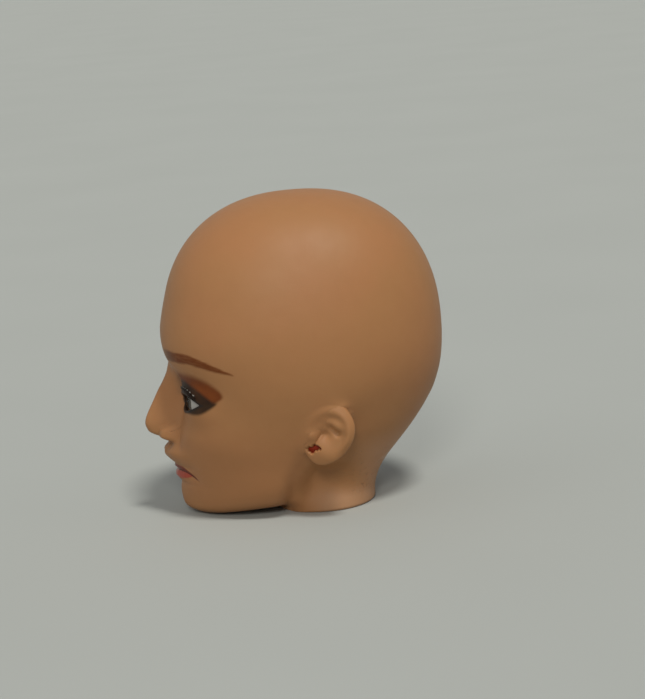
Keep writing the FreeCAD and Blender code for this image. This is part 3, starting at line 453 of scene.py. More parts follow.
def head_skin():
    """Closed skin: rays from inside the head find its outside, then rings close rim, bore and cavity."""
    even = np.linspace(-np.pi, np.pi, COLUMNS, endpoint=False)
    turn = even - 0.55 * np.sin(even)
    low_edge = 0.12 + 0.33 * ease((-np.cos(turn) + 0.55) / 1.0)
    level = np.stack([np.sin(turn), -np.cos(turn), np.zeros(COLUMNS)], -1)
    start = np.stack([np.zeros(COLUMNS), np.full(COLUMNS, RAY_START[1]), low_edge], -1)
    neck = found(lambda p: neck_distance(np.abs(p[..., 0]), p[..., 1], p[..., 2]), start, level, 0.0, 12.0)
    reach = np.linalg.norm(neck - start, axis=1)
    rim = found(lambda p: skin_distance(p, False), start, level, reach - 1.0, reach + 1.3)
    bottom = np.arctan2(low_edge - RAY_START[2], np.linalg.norm(rim - start, axis=1))
    share = np.linspace(0, 1, ROWS + 1)[1:-1]
    share = share - 0.5 / (2 * np.pi) * (np.sin(2 * np.pi * (share - 0.33)) + np.sin(2 * np.pi * 0.33))
    rise = bottom[None] + (np.pi / 2 - bottom[None]) * share[:, None]
    rays = ray(np.broadcast_to(turn, rise.shape), rise)
    skin = found(skin_distance, RAY_START, rays, 3.0, 30.0)
    skin[..., 2] = np.maximum(skin[..., 2], 0.0)
    outside = np.concatenate([rim[None], skin])[::-1]
    crown = found(skin_distance, RAY_START, np.array([[0.0, 0.0, 1.0]]), 3.0, 30.0)

    rings = []
    toward = -rim * [1, 1, 0] / np.linalg.norm(rim[:, :2], axis=1)[:, None]
    for angle in np.radians([22, 45, 68, 90]):
        place = rim + toward * (low_edge * (1 - np.cos(angle)))[:, None]
        place[:, 2] = low_edge * (1 - np.sin(angle))
        rings.append(place)
    around = np.arctan2(rim[:, 0], -rim[:, 1])
    circle = np.stack([np.sin(around), -np.cos(around), np.zeros(COLUMNS)], -1)
    rings.append((rings[-1] + circle * BORE_PROFILE[0][0]) / 2)
    for radius, z in BORE_PROFILE:
        place = circle * radius
        place[:, 2] = z
        rings.append(place)
    aim = rings[-1] - RAY_START
    aim = aim / np.linalg.norm(aim, axis=1)[:, None]
    from_up = np.arccos(aim[:, 2])
    flat = aim[:, :2] / np.linalg.norm(aim[:, :2], axis=1)[:, None]
    angle = from_up[None] * (1 - np.linspace(0.02, 1, 27)[:-1, None])
    rays = np.concatenate([flat[None] * np.sin(angle)[..., None], np.cos(angle)[..., None]], -1)
    hollow = first_found(cavity_distance, RAY_START, rays, 26.0)
    hollow_top = first_found(cavity_distance, RAY_START, np.array([[0.0, 0.0, 1.0]]), 26.0)
    sheet = np.concatenate([outside, np.array(rings), hollow])
    points = [sheet.reshape(-1, 3), crown, hollow_top]
    count = sheet.shape[0] * COLUMNS
    faces = grid_faces(sheet.shape[0], COLUMNS)
    triangles = [fan(np.arange(COLUMNS), count)[:, [1, 0, 2]],
                 fan(count - COLUMNS + np.arange(COLUMNS), count + 1)]
    count += 2

    # a window of whole cells round each eye gives way to its patch
    left, right = np.searchsorted(turn, np.arctan2(WINDOW_ACROSS, WINDOW_AHEAD))
    level_z = outside[:, (left + right) // 2, 2]
    top, base = np.argmax(level_z < WINDOW_TOP), np.argmax(level_z < WINDOW_BASE)
    keep = np.ones(faces.shape[:2], bool)
    keep[top:base, left:right] = False
    keep[top:base, COLUMNS - right:COLUMNS - left] = False
    rows = np.concatenate([np.full(right - left, top), np.arange(top, base), np.full(right - left, base),
                           np.arange(base, top, -1)])
    cols = np.concatenate([np.arange(left, right), np.full(base - top, right), np.arange(right, left, -1),
                           np.full(base - top, left)])
    patch, pole = eye_patch(outside[rows, cols])
    patch_quads = []
    for mirror in (1, -1):
        loop = rows * COLUMNS + (cols if mirror > 0 else (COLUMNS - cols) % COLUMNS)
        added = count + np.arange(len(patch) * len(loop))
        numbers = np.concatenate([loop[None], added.reshape(len(patch), -1)])
        after = np.roll(numbers, -1, axis=1)
        quads = np.stack([numbers[:-1], after[:-1], after[1:], numbers[1:]], -1).reshape(-1, 4)
        last = count + len(patch) * len(loop)
        closing = fan(numbers[-1], last)
        if mirror < 0:
            quads, closing = quads[:, ::-1], closing[:, ::-1]
        patch_quads.append(quads)
        triangles.append(closing)
        points += [np.concatenate(patch) * [mirror, 1, 1], pole[None] * [mirror, 1, 1]]
        count = last + 1
    quads = np.concatenate([faces[keep].reshape(-1, 4)] + patch_quads)
    return mesh_piece("vinyl_head", np.concatenate(points), quads, np.concatenate(triangles))


def ear_piece(name, side):
    """Ear: polar rings over its face and in again over its back, filleted where it grows out of the head."""
    columns = 200
    turn = np.arange(columns) * 2 * np.pi / columns
    face_rings = np.sin(np.linspace(0, 1, 77)[1:] * np.pi / 2)
    back_rings = np.sin(np.linspace(1, 0, 34)[1:-1] * np.pi / 2)
    rings = np.concatenate([face_rings, back_rings])
    ring, angle = np.meshgrid(rings, turn, indexing="ij")
    u = EAR_HALF[0] * ring * np.cos(angle) * (1 + EAR_TAPER * np.sin(angle))
    v = EAR_HALF[1] * ring * np.sin(angle)
    on_face = (np.arange(len(rings)) < len(face_rings))[:, None]
    out = np.where(on_face, ear_front(ring, angle, u, v), ear_back(ring))
    grid = EAR_MIDDLE + u[..., None] * EAR_ACROSS + v[..., None] * EAR_ALONG + out[..., None] * EAR_OUT
    across = np.roll(grid, -1, 1) - np.roll(grid, 1, 1)
    along = np.gradient(grid, axis=0)
    normal = np.cross(along, across)
    normal /= np.linalg.norm(normal, axis=-1, keepdims=True) + 1e-9
    normal *= -1 if (normal[10] @ EAR_OUT).mean() < 0 else 1
    grid = grid + normal * fillet(np.clip(skin_distance(grid, False), 0, None))[..., None]
    poles = np.stack([grid[0].mean(0), grid[-1].mean(0)])
    count = grid.shape[0] * columns
    quads = grid_faces(grid.shape[0], columns).reshape(-1, 4)[:, ::-1]
    triangles = np.concatenate([fan(np.arange(columns), count),
                                fan(count - columns + np.arange(columns), count + 1)[:, [1, 0, 2]]])
    points = np.concatenate([grid.reshape(-1, 3), poles])
    corner = points[quads[:500]]
    faces_out = (np.cross(corner[:, 1] - corner[:, 0], corner[:, 2] - corner[:, 0]) @ EAR_OUT).mean() > 0
    if faces_out != (side > 0):
        quads, triangles = quads[:, ::-1], triangles[:, ::-1]
    return mesh_piece(name, points * [side, 1, 1], quads, triangles)


def lens(name, side):
    """Clear lens in front of the iris: rings on a sphere round it, a straight rim and a flat back."""
    columns = 64
    turn = np.arange(columns) * 2 * np.pi / columns
    radius = LENS_HALF * np.sin(np.linspace(0, 1, 15)[1:] * np.pi / 2)
    depth = np.sqrt(LENS_RADIUS ** 2 - radius ** 2) - LENS_RADIUS + EYE_FRONT
    back = LENS_HALF * np.linspace(1, 0, 5)[:-1]
    radius = np.concatenate([radius, back])
    depth = np.concatenate([depth, np.full(len(back), LENS_BACK)])
    rings = np.stack([EYE[0] + radius[:, None] * np.sin(turn), np.repeat(EYE[1] - depth[:, None], columns, 1),
                      EYE[2] + radius[:, None] * np.cos(turn)], -1)
    poles = np.array([[EYE[0], EYE[1] - EYE_FRONT, EYE[2]], [EYE[0], EYE[1] - LENS_BACK, EYE[2]]])
    count = rings.shape[0] * columns
    quads = grid_faces(rings.shape[0], columns).reshape(-1, 4)
    triangles = np.concatenate([fan(np.arange(columns), count)[:, [1, 0, 2]],
                                fan(count - columns + np.arange(columns), count + 1)])
    if side > 0:
        quads, triangles = quads[:, ::-1], triangles[:, ::-1]
    return mesh_piece(name, np.concatenate([rings.reshape(-1, 3), poles]) * [side, 1, 1], quads, triangles)


def lid_edge(s, lift):
    """Points along the upper lid's edge, s from the nose side to the outer corner, lifted above the edge."""
    u = SLIT_HALF * (-0.66 + 1.62 * s)
    v = np.sqrt(OVER_RADIUS ** 2 - u ** 2) - OVER_RADIUS + SLIT_OVER + lift
    spot = np.array(SLIT_MIDDLE)[:, None] + SLIT_TURN.T @ np.stack([u, v])
    return skin_behind(*spot)


def tubes(path, radius, sides):
    """Points, quads and end triangles of tubes: circles set square to each path, ends closed."""
    count, rings = path.shape[:2]
    tangent = np.gradient(path, axis=1)
    tangent /= np.linalg.norm(tangent, axis=-1, keepdims=True)
    beside = np.cross(tangent, [0.0, 0.0, 1.0])
    beside /= np.linalg.norm(beside, axis=-1, keepdims=True)
    above = np.cross(beside, tangent)
    turn = np.arange(sides) * 2 * np.pi / sides
    tube = (path[:, :, None] + radius[..., None, None] * (beside[:, :, None] * np.cos(turn)[:, None]
                                                          + above[:, :, None] * np.sin(turn)[:, None]))
    one = grid_faces(rings, sides).reshape(-1, 4)
    ends = [fan(np.arange(sides), rings * sides)[:, [1, 0, 2]],
            fan((rings - 1) * sides + np.arange(sides), rings * sides + 1)]
    size = rings * sides + 2
    points = np.concatenate([tube.reshape(count, -1, 3), path[:, :1], path[:, -1:]], 1)
    first = np.arange(count)[:, None, None] * size
    return points.reshape(-1, 3), (first + one).reshape(-1, 4), (first + np.concatenate(ends)).reshape(-1, 3)


# Lashes: how many, rings of each, radius, and how far the roots and the band lie above the lid's edge
LASH_COUNT, LASH_RINGS, LASH_RADIUS, ROOT_LIFT, BAND_LIFT = 44, 7, 0.06, 0.66, 0.80
# Band: its knots, sides and rings, its radius and what a knot adds to it
KNOTS, BAND_SIDES, BAND_RINGS, BAND_RADIUS, KNOT_RADIUS = 9, 6, 145, 0.03, 0.075


def lash_tubes():
    """Paths on parabolas, which go forward and down from the lid and curl up, and their tapered tubes."""
    s = np.linspace(0.0, 1.0, LASH_COUNT)
    wave = np.sin(np.arange(LASH_COUNT) * 2.4) * 0.5 + np.sin(np.arange(LASH_COUNT) * 5.3 + 1) * 0.5
    root = lid_edge(s, ROOT_LIFT)
    root[:, 1] += 0.05
    fan_out = (s - 0.40) * 1.7 + 0.14 * wave
    length = 0.75 * (0.40 + 1.05 * ease(s / 0.75) + 0.12 * wave)
    t = np.linspace(0, 1, LASH_RINGS)[None, :, None]
    ahead = np.stack([0.75 * fan_out, -0.55 - 0.35 * s, -0.34 + 0.12 * wave], -1)[:, None]
    curl = np.stack([0.20 * fan_out, np.full(LASH_COUNT, 0.35), np.full(LASH_COUNT, 0.80)], -1)[:, None]
    path = root[:, None] + length[:, None, None] * (ahead * t + curl * t ** 2)
    taper = 1 - 0.86 * np.linspace(0, 1, LASH_RINGS) ** 1.3
    return root[0], tubes(path, LASH_RADIUS * taper * np.ones((LASH_COUNT, 1)), 4)


def lashes(name, side):
    """Lash strip: tapered tubes up and forward from the lid, and a band that swells at its knots."""
    first_root, (hair, quads, ends) = lash_tubes()
    along = np.linspace(0.0, 1.0, BAND_RINGS)
    line = lid_edge(along, BAND_LIFT + 0.06 * along)
    line[:, 1] -= 0.02
    knot_glint = 0.5 - 0.5 * np.cos(along * 2 * np.pi * KNOTS)
    band, band_quads, band_ends = tubes(line[None], (BAND_RADIUS + KNOT_RADIUS * knot_glint ** 2)[None], BAND_SIDES)
    points = np.concatenate([hair, band])
    quads = np.concatenate([quads, band_quads + len(hair)])
    ends = np.concatenate([ends, band_ends + len(hair)])
    corner = points[quads[:4]]
    outward = (np.cross(corner[:, 1] - corner[:, 0], corner[:, 2] - corner[:, 0])
               * (corner.mean(1) - first_root)).sum() > 0
    if outward != (side > 0):
        quads, ends = quads[:, ::-1], ends[:, ::-1]
    piece = mesh_piece(name, points * [side, 1, 1], quads, ends)
    mark = piece.data.attributes.new("knot_glint", "FLOAT", "POINT")
    value = np.zeros(len(points), np.float32)
    value[len(hair):len(hair) + BAND_RINGS * BAND_SIDES] = np.repeat(knot_glint, BAND_SIDES)
    mark.data.foreach_set("value", value)
    return piece


# Finishes

class Wire:
    """A socket of a material: arithmetic on it adds Math nodes."""

    def __init__(self, finish, socket):
        self.finish, self.socket = finish, socket

    def math(self, operation, *others):
        return self.finish.node("ShaderNodeMath", {"operation": operation}, *((self,) + others))

    def __add__(self, other):
        return self.math("ADD", other)

    def __sub__(self, other):
        return self.math("SUBTRACT", other)

    def __rsub__(self, other):
        return self.finish.node("ShaderNodeMath", {"operation": "SUBTRACT"}, other, self)

    def __mul__(self, other):
        return self.math("MULTIPLY", other)

    def __truediv__(self, other):
        return self.math("DIVIDE", other)

    def __pow__(self, other):
        return self.math("POWER", other)

    def most(self, other):
        return self.math("MAXIMUM", other)

    def size(self):
        return self.math("ABSOLUTE")

    def bell(self):
        """Gaussian, 1 where the value is 0."""
        return (self ** 2.0 * -1.0).math("EXPONENT")

    def step(self, start, end):
        """Smooth step from 0 at start to 1 at end."""
        settings = {"interpolation_type": "SMOOTHSTEP"}
        return self.finish.node("ShaderNodeMapRange", settings, self, start, end, 0.0, 1.0)

    __radd__, __rmul__ = __add__, __mul__


class Finish:
    """A procedural material: its nodes come from one method, and its varying inputs from wires."""

    def __init__(self, name, **constants):
        self.material = bpy.data.materials.new(name)
        self.material.use_nodes = True
        self.tree = self.material.node_tree
        self.shader = self.tree.nodes["Principled BSDF"]
        for socket, value in constants.items():
            self.shader.inputs[socket.replace("_", " ")].default_value = value
        self.coordinates = self.node("ShaderNodeTexCoord", {}, output="Object")

    def node(self, kind, settings, *values, output=0, **named):
        """Node of a type: settings first, then values or links by place or by socket name."""
        made = self.tree.nodes.new(kind)
        for key, value in settings.items():
            setattr(made, key, value)
        for key, value in list(enumerate(values)) + [(k.replace("_", " "), v) for k, v in named.items()]:
            if isinstance(value, Wire):
                self.tree.links.new(value.socket, made.inputs[key])
            elif value is not None:
                made.inputs[key].default_value = value
        return Wire(self, made.outputs[output])

    def set(self, **wires):
        """Feed sockets of the shader from wires."""
        for socket, wire in wires.items():
            self.tree.links.new(wire.socket, self.shader.inputs[socket.replace("_", " ")])

    def axes(self, centre=(0.0, 0.0, 0.0)):
        """Across, along and up of the object in mm, from a centre in mm."""
        scaled = self.node("ShaderNodeVectorMath", {"operation": "SCALE"}, self.coordinates, Scale=1000.0)
        moved = self.node("ShaderNodeVectorMath", {"operation": "SUBTRACT"}, scaled, centre)
        return [self.node("ShaderNodeSeparateXYZ", {}, moved, output=axis) for axis in range(3)]

    def noise(self, scale, detail, roughness=0.5, stretch=(1, 1, 1), distortion=0.0):
        """Noise with its scale in cells per mm."""
        place = self.node("ShaderNodeMapping", {}, self.coordinates, Scale=tuple(1000.0 * k for k in stretch))
        return self.node("ShaderNodeTexNoise", {}, output="Fac", Vector=place, Scale=scale, Detail=detail,
                         Roughness=roughness, Distortion=distortion)

    def mix(self, mask, first, second):
        """Colour that goes from first to second as the mask goes from 0 to 1."""
        made = self.tree.nodes.new("ShaderNodeMix")
        made.data_type = "RGBA"
        for socket, value in ((made.inputs[0], mask), (made.inputs[6], first), (made.inputs[7], second)):
            if isinstance(value, Wire):
                self.tree.links.new(value.socket, socket)
            else:
                socket.default_value = value if isinstance(value, float) else (*value, 1.0)
        return Wire(self, made.outputs[2])

    def bump(self, height, distance):
        """Bump whose height of 1 stands a distance in mm."""
        self.set(Normal=self.node("ShaderNodeBump", {}, Height=height, Distance=distance * MM, Strength=1.0))


def tone(red, green, blue):
    """Linear colour of an sRGB tone of 0 to 255."""
    share = np.array([red, green, blue]) / 255
    return tuple(np.where(share <= 0.04045, share / 12.92, ((share + 0.055) / 1.055) ** 2.4).tolist())


# Eye white, toned grey as painted shade from the lids and lashes; the iris print's margin uses it too
EYE_WHITE_IN_SHADE = tone(166, 160, 153)
# Make-up is laid out by height and by the distance round an upright axis behind the eyes
PAINT_AXIS, PAINT_RADIUS = -6.0, 12.0
# Brow: height, where it starts to fall and how steeply, half height, and the end of its tail round the head
BROW_HEIGHT, BROW_BEND, BROW_FALL, BROW_HALF, BROW_END = 21.2, 9.1, 0.34, 0.70, 14.6
# Heights of the eye shadow, of the dark lids and of their wing, and of each lip above or below the mouth line
SHADOW_CREST, SHADOW_BASE, LID_CREST, LID_BASE, LID_WING = 19.15, 15.55, 18.25, 14.15, 16.3
UPPER_LIP, LOWER_LIP = 0.72, 1.06


def brow_mask(vinyl, around, z):
    """Brow: level over the eye, then a straight fall to its tail; strokes fray its edges."""
    bend = around - BROW_BEND
    fall = (bend + (bend ** 2.0 + 0.64) ** 0.5) * 0.5
    half = (1.0 - (around / BROW_END).most(0.0) ** 4.0).most(0.001) ** 0.85 * BROW_HALF
    strokes = vinyl.noise(1.0, 2.0, stretch=(0.8, 0.8, 5.0), distortion=0.5)
    off = (z - BROW_HEIGHT + fall * BROW_FALL).size() - half + (strokes - 0.5) * 0.35
    ends = around.step(14.7, 14.3) * around.step(1.6, 5.5)
    return off.step(0.16, -0.22) * ends * (0.85 + strokes.step(0.35, 0.6) * 0.15)


def shadow_mask(around, z, ragged):
    """Eye shadow: its crest is level and then drops to a soft outer tip."""
    crest = SHADOW_CREST - ((around - 8.0).most(0.0) / 3.3) ** 2.2 * 0.9
    crest = crest - ((6.0 - around).most(0.0) / 3.0) ** 1.6 * 0.9
    base = SHADOW_BASE + (around - 11.4).most(0.0) * 0.6
    height = (crest - z + ragged).step(-0.40, 0.70) * (z - base + ragged * 0.3).step(-0.25, 0.30)
    return height * around.step(1.4, 3.6) * around.step(13.1, 12.3)


def lid_mask(around, z, ragged):
    """Dark lids: a soft almond larger than the eye, from the nose side to a pointed wing."""
    outward, inward = (around - 7.0).most(0.0), (6.2 - around).most(0.0)
    crest = LID_CREST - outward * 0.30 - (outward / 4.0) ** 3.0 * 0.75 - (inward / 3.0) ** 2.2 * 2.6
    crest = crest.most(LID_WING - (around - 10.5) * 0.33 - (10.5 - around).most(0.0) * 2.0)
    base = LID_BASE + ((around - 8.6).most(0.0) / 3.2) ** 2.0 * 1.45
    base = base + ((8.6 - around).most(0.0) / 4.0) ** 2.0 * 0.4
    height = (crest - z + ragged * 0.5).step(-0.25, 0.45) * (z - base + ragged * 0.4).step(-0.25, 0.30)
    return height * around.step(2.4, 3.2) * around.step(12.5, 12.0)


def liner_mask(x, z):
    """Hard line at the lid edges, from the distance outside the two arcs of the eye's opening."""
    right, above = x - SLIT_MIDDLE[0], z - SLIT_MIDDLE[1]
    u = right * float(np.cos(SLIT_TILT)) + above * float(np.sin(SLIT_TILT))
    v = above * float(np.cos(SLIT_TILT)) - right * float(np.sin(SLIT_TILT))
    over = (u ** 2.0 + (v + (OVER_RADIUS - SLIT_OVER)) ** 2.0) ** 0.5 - OVER_RADIUS
    under = (u ** 2.0 + (v - (UNDER_RADIUS - SLIT_UNDER)) ** 2.0) ** 0.5 - UNDER_RADIUS
    return over.most(under).step(0.45, 0.18)


def lip_masks(x, z):
    """Upper lip, lower lip and their seam, from the height above the mouth line; thin at the corners."""
    fall = ((x - FALL_START).most(0.0) / FALL_RUN) ** FALL_POWER * CORNER_FALL
    above = z - (MOUTH_HEIGHT - (x / DIP_HALF).bell() * DIP - fall)
    over = UPPER_LIP - ((x - 3.1).most(0.0) / 1.5) ** 1.5 * 0.40 - (x / 0.5).bell() * 0.15
    under = LOWER_LIP - (x / 4.0) ** 5.0 * 0.9
    upper = above.step(-0.16, -0.04) * (over - above).step(-0.08, 0.12) * x.step(4.8, 4.4)
    lower = above.step(0.02, -0.10) * (above + under).step(-0.10, 0.16) * x.step(4.4, 3.8)
    return upper, lower, above.size().step(0.22, 0.04) * x.step(5.0, 4.5)


def ear_masks(vinyl, x, y, z):
    """Inside of the torn earring hole, a union of discs, and painted shade in the crease that runs down to
    it.
    """
    place = vinyl.node("ShaderNodeCombineXYZ", {}, x - EAR_MIDDLE[0], y - EAR_MIDDLE[1], z - EAR_MIDDLE[2])
    dot = {"operation": "DOT_PRODUCT"}
    u, v, out = [vinyl.node("ShaderNodeVectorMath", dot, place, tuple(axis), output="Value")
                 for axis in (EAR_ACROSS, EAR_ALONG, EAR_OUT)]
    inside = None
    for across, along, radius in HOLE_SPOTS:
        spot = radius - ((u - across) ** 2.0 + (v - along) ** 2.0) ** 0.5
        inside = spot if inside is None else inside.most(spot)
    torn = inside.step(-0.03, 0.08) * out.step(0.16, -0.05) * x.step(8.0, 9.0)
    # painted shade: the ear's crease that runs down to the hole is darkened
    painted_crease_shade = ((u + 1.1) ** 2.0 + ((v + 1.4) * 0.45) ** 2.0) ** 0.5
    return torn, painted_crease_shade.step(0.5, 0.1) * x.step(10.5, 11.5) * out.step(0.5, 0.2)


def vinyl_finish():
    """Tan soft vinyl: painted brows, eye shadow, lids, liner and lips, and red in the torn ear holes."""
    vinyl = Finish("soft_vinyl", Subsurface_Weight=0.06, Subsurface_Scale=0.0006, Specular_IOR_Level=0.24,
                   Subsurface_Radius=(1.0, 0.45, 0.25))
    x, y, z = vinyl.axes()
    x = x.size()
    face = y.step(-4.0, -8.0)
    cloud = vinyl.noise(0.09, 2.0)
    mottle = vinyl.noise(0.55, 4.0)
    skin = vinyl.mix(cloud.step(0.35, 0.68), tone(158, 112, 71), tone(160, 111, 71))
    skin = vinyl.mix(mottle.step(0.3, 0.75) * 0.25, skin, tone(153, 107, 67))
    # painted bounce light: the collar and the nape are made paler, as if lit from below, mottled by the noise
    painted_bounce_light = (z.step(3.6, 1.0) * y.step(-3.5, 0.5)).most(z.step(10.5, 6.5) * y.step(2.5, 6.5) * 0.8)
    skin = vinyl.mix((mottle - 0.5) * 0.5 * painted_bounce_light + painted_bounce_light * 0.55, skin, tone(176, 137, 106))

    around = x.math("ARCTAN2", PAINT_AXIS - y) * PAINT_RADIUS
    ragged = (mottle - 0.5) * 0.5
    brow = brow_mask(vinyl, around, z) * face
    shadow = shadow_mask(around, z, ragged) * face
    smoke = lid_mask(around, z, ragged) * face
    liner = liner_mask(x, z) * face
    upper, lower, seam = lip_masks(x, z)
    torn, painted_crease_shade = ear_masks(vinyl, x, y, z)
    # painted shade: the nostrils are darkened
    painted_nostril_shade = ((x - 2.1) ** 2.0 + ((z - 9.75) * 2.0) ** 2.0) ** 0.5
    painted_nostril_shade = painted_nostril_shade.step(1.0, 0.3) * y.step(-15.0, -17.0)
    # by the nose the eye shadow turns grey-brown: partly its own tone, partly a painted sheen
    nose_side_sheen, brow_front = around.step(6.4, 3.6), around.step(7.6, 3.4)
    lip_noise = vinyl.noise(2.2, 2.0, stretch=(1.0, 1.0, 0.25))
    patches = mottle.step(0.3, 0.7)

    umber = vinyl.mix(patches, tone(99, 43, 0), tone(108, 50, 4))
    colour = skin
    for mask, paint in (
            # eye shadow, grey-brown by the nose as partly a painted sheen
            (shadow * (0.97 - nose_side_sheen * 0.3), vinyl.mix(nose_side_sheen, umber, tone(112, 84, 62))),
            (brow * 0.98, vinyl.mix(brow_front, tone(100, 46, 0), tone(104, 78, 58))),
            (smoke * 0.96, vinyl.mix(patches, tone(35, 19, 4), tone(48, 28, 11))),
            (liner * 0.93, tone(34, 25, 21)),
            # upper lip: darker red-brown than the lower lip, partly its own paint, partly painted shade
            (upper * face * 0.95, vinyl.mix(lip_noise, tone(98, 26, 6), tone(108, 34, 13))),
            (lower * face * 0.95, vinyl.mix(lip_noise, tone(150, 55, 36), tone(162, 68, 50))),
            (seam * face * 0.75, tone(80, 26, 8)),
            # painted shade in the nostrils
            (painted_nostril_shade * 0.6, tone(96, 48, 28)),
            # painted shade in the ear's crease
            (painted_crease_shade * 0.45, tone(120, 66, 38)),
            (torn * 0.95, vinyl.mix(patches, tone(122, 24, 4), tone(172, 54, 24)))):
        colour = vinyl.mix(mask, colour, paint)
    gloss = 0.50 + (mottle - 0.5) * 0.08 - lower * 0.18 - upper * 0.12 - liner * 0.08
    vinyl.set(Base_Color=colour, Roughness=gloss)
    pores = vinyl.noise(7.0, 3.0, 0.6)
    pits = vinyl.noise(2.2, 2.0, 0.4).step(0.375, 0.31)
    pits = pits * z.step(8.5, 6.5) * z.step(1.2, 2.4) * y.step(2.0, 4.0)
    paint = brow * 0.5 + (lower + upper) * lip_noise * 1.2
    vinyl.bump(pores * 0.35 + mottle * 0.65 - pits * 2.0 + paint, 0.035)
    return vinyl.material


def lash_finish():
    """Dark fibre; the band's knots, read from their own attribute, are pale as painted glints."""
    lash = Finish("lash_fibre", Specular_IOR_Level=0.5)
    grain = lash.noise(3.0, 2.0)
    knot_glint = lash.node("ShaderNodeAttribute", {"attribute_name": "knot_glint"}, output="Fac")
    fibre = lash.mix(grain.step(0.35, 0.7), tone(20, 15, 13), tone(46, 35, 28))
    # pale knots: painted glints on the lash band
    lash.set(Base_Color=lash.mix(knot_glint.step(0.55, 0.95) * 0.9, fibre, tone(122, 118, 110)),
             Roughness=grain * 0.2 + 0.28)
    return lash.material


def eye_axes(finish):
    """Across, up and the distance from the axis of the eye, alike on both sides."""
    x, y, z = finish.axes((0.0, EYE[1], EYE[2]))
    across = x.size() - EYE[0]
    return across, z, (across ** 2.0 + z ** 2.0) ** 0.5


def eye_white_finish():
    """Glossy white, toned grey as painted shade, with faint veins, duller and redder towards its edge."""
    white = Finish("eye_white_acrylic", Specular_IOR_Level=0.55, Coat_Weight=0.6, Coat_Roughness=0.06)
    across, up, far = eye_axes(white)
    veins = white.noise(0.9, 4.0, distortion=1.2)
    base = white.mix(veins.step(0.62, 0.75) * 0.25, EYE_WHITE_IN_SHADE, tone(156, 136, 125))
    white.set(Base_Color=white.mix(far.step(2.6, 3.7) * 0.5, base, tone(164, 141, 128)),
              Roughness=veins * 0.06 + 0.16)
    return white.material


def iris_finish():
    """Printed iris: pupil, radial fibres from an angle-stretched noise, dark outer ring, white margin."""
    iris = Finish("iris_print", Specular_IOR_Level=0.4)
    across, up, far = eye_axes(iris)
    angle = up.math("ARCTAN2", across)
    fibre_place = iris.node("ShaderNodeCombineXYZ", {}, angle * 6.0, far * 0.9, 0.0)
    fibres = iris.node("ShaderNodeTexNoise", {}, output="Fac", Vector=fibre_place, Scale=2.2, Detail=4.0,
                       Roughness=0.6)
    colour = iris.mix(fibres.step(0.3, 0.7), tone(66, 66, 64), tone(178, 178, 170))
    for mask, print_tone in ((far.step(1.05, 0.68) * 0.6, tone(128, 100, 68)),
                             ((far + (fibres - 0.5) * 0.12).step(1.36, 1.56), tone(22, 20, 20)),
                             (far.step(0.76, 0.68), tone(6, 5, 5)),
                             (far.step(1.66, 1.74), EYE_WHITE_IN_SHADE)):
        colour = iris.mix(mask, colour, print_tone)
    iris.set(Base_Color=colour, Roughness=fibres * 0.15 + 0.3)
    return iris.material


def cornea_finish():
    """Clear acrylic with a trace of haze, which thickens towards the lens's rim."""
    clear = Finish("clear_acrylic", Specular_IOR_Level=0.6, Coat_Weight=0.5, Coat_Roughness=0.03)
    haze = clear.noise(1.2, 2.0)
    across, up, far = eye_axes(clear)
    clear.set(Base_Color=clear.mix(haze, tone(92, 80, 68), tone(110, 98, 84)), Roughness=haze * 0.06 + 0.03,
              Alpha=haze * 0.05 + far.step(1.2, 1.95) * 0.4 + 0.09)
    return clear.material


def plastic_finish(name, first, second, rough, ring=0.0):
    """Moulded plastic: faint flow marks, fine grain and, where ring is set, turning marks round the axis."""
    plastic = Finish(name, Specular_IOR_Level=0.5)
    x, y, z = plastic.axes()
    flow = plastic.noise(0.35, 3.0, stretch=(1, 1, 0.4))
    grain = plastic.noise(6.0, 2.0)
    plastic.set(Base_Color=plastic.mix(flow.step(0.3, 0.7), first, second), Roughness=grain * 0.12 + rough)
    height = grain
    if ring:
        far = (x ** 2.0 + y ** 2.0) ** 0.5
        height = grain * 0.5 + (far * ring).math("SINE") * 0.5
    plastic.bump(height, 0.01)
    return plastic.material


def steel_finish():
    """Drawn steel with brushed streaks."""
    steel = Finish("clip_steel", Metallic=1.0, Anisotropic=0.3)
    brushed = steel.noise(3.0, 3.0, stretch=(1, 1, 5))
    steel.set(Base_Color=steel.mix(brushed, tone(150, 150, 152), tone(188, 188, 190)),
              Roughness=brushed * 0.2 + 0.28)
    steel.bump(brushed, 0.006)
    return steel.material


def dress(piece, material):
    """Give a piece one material."""
    piece.data.materials.clear()
    piece.data.materials.append(material)


# Making

vinyl = vinyl_finish()
head = head_skin()
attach(head, "head")
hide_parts("head_shell")
dress(head, vinyl)
lash_material = lash_finish()
clear_acrylic = cornea_finish()
for name, side in (("left", 1), ("right", -1)):
    ear = ear_piece(name + "_ear", side)
    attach(ear, "head")
    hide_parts("head_shell")
    dress(ear, vinyl)
    clear = lens(name + "_lens", side)
    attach(clear, name + "_eye")
    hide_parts(name + "_cornea")
    dress(clear, clear_acrylic)
    lash = lashes(name + "_lashes", side)
    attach(lash, "head")
    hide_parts(name + "_eyelashes")
    dress(lash, lash_material)

cad_finishes = (
    ("eye_white", eye_white_finish()), ("iris", iris_finish()),
    ("eye_cup", plastic_finish("cup_plastic", tone(70, 68, 66), tone(84, 82, 80), 0.45)))
for name in ("left", "right"):
    for part, material in cad_finishes:
        dress(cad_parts[name + "_" + part], material)
dress(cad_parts["neck_insert"],
      plastic_finish("insert_plastic", tone(196, 178, 154), tone(206, 190, 168), 0.4))
dress(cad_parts["neck_knob"],
      plastic_finish("knob_plastic", tone(188, 134, 98), tone(198, 144, 108), 0.38, ring=26.0))
dress(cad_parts["knob_clip"], steel_finish())

# Stage, light and camera

FLOOR_HALF = 4.0
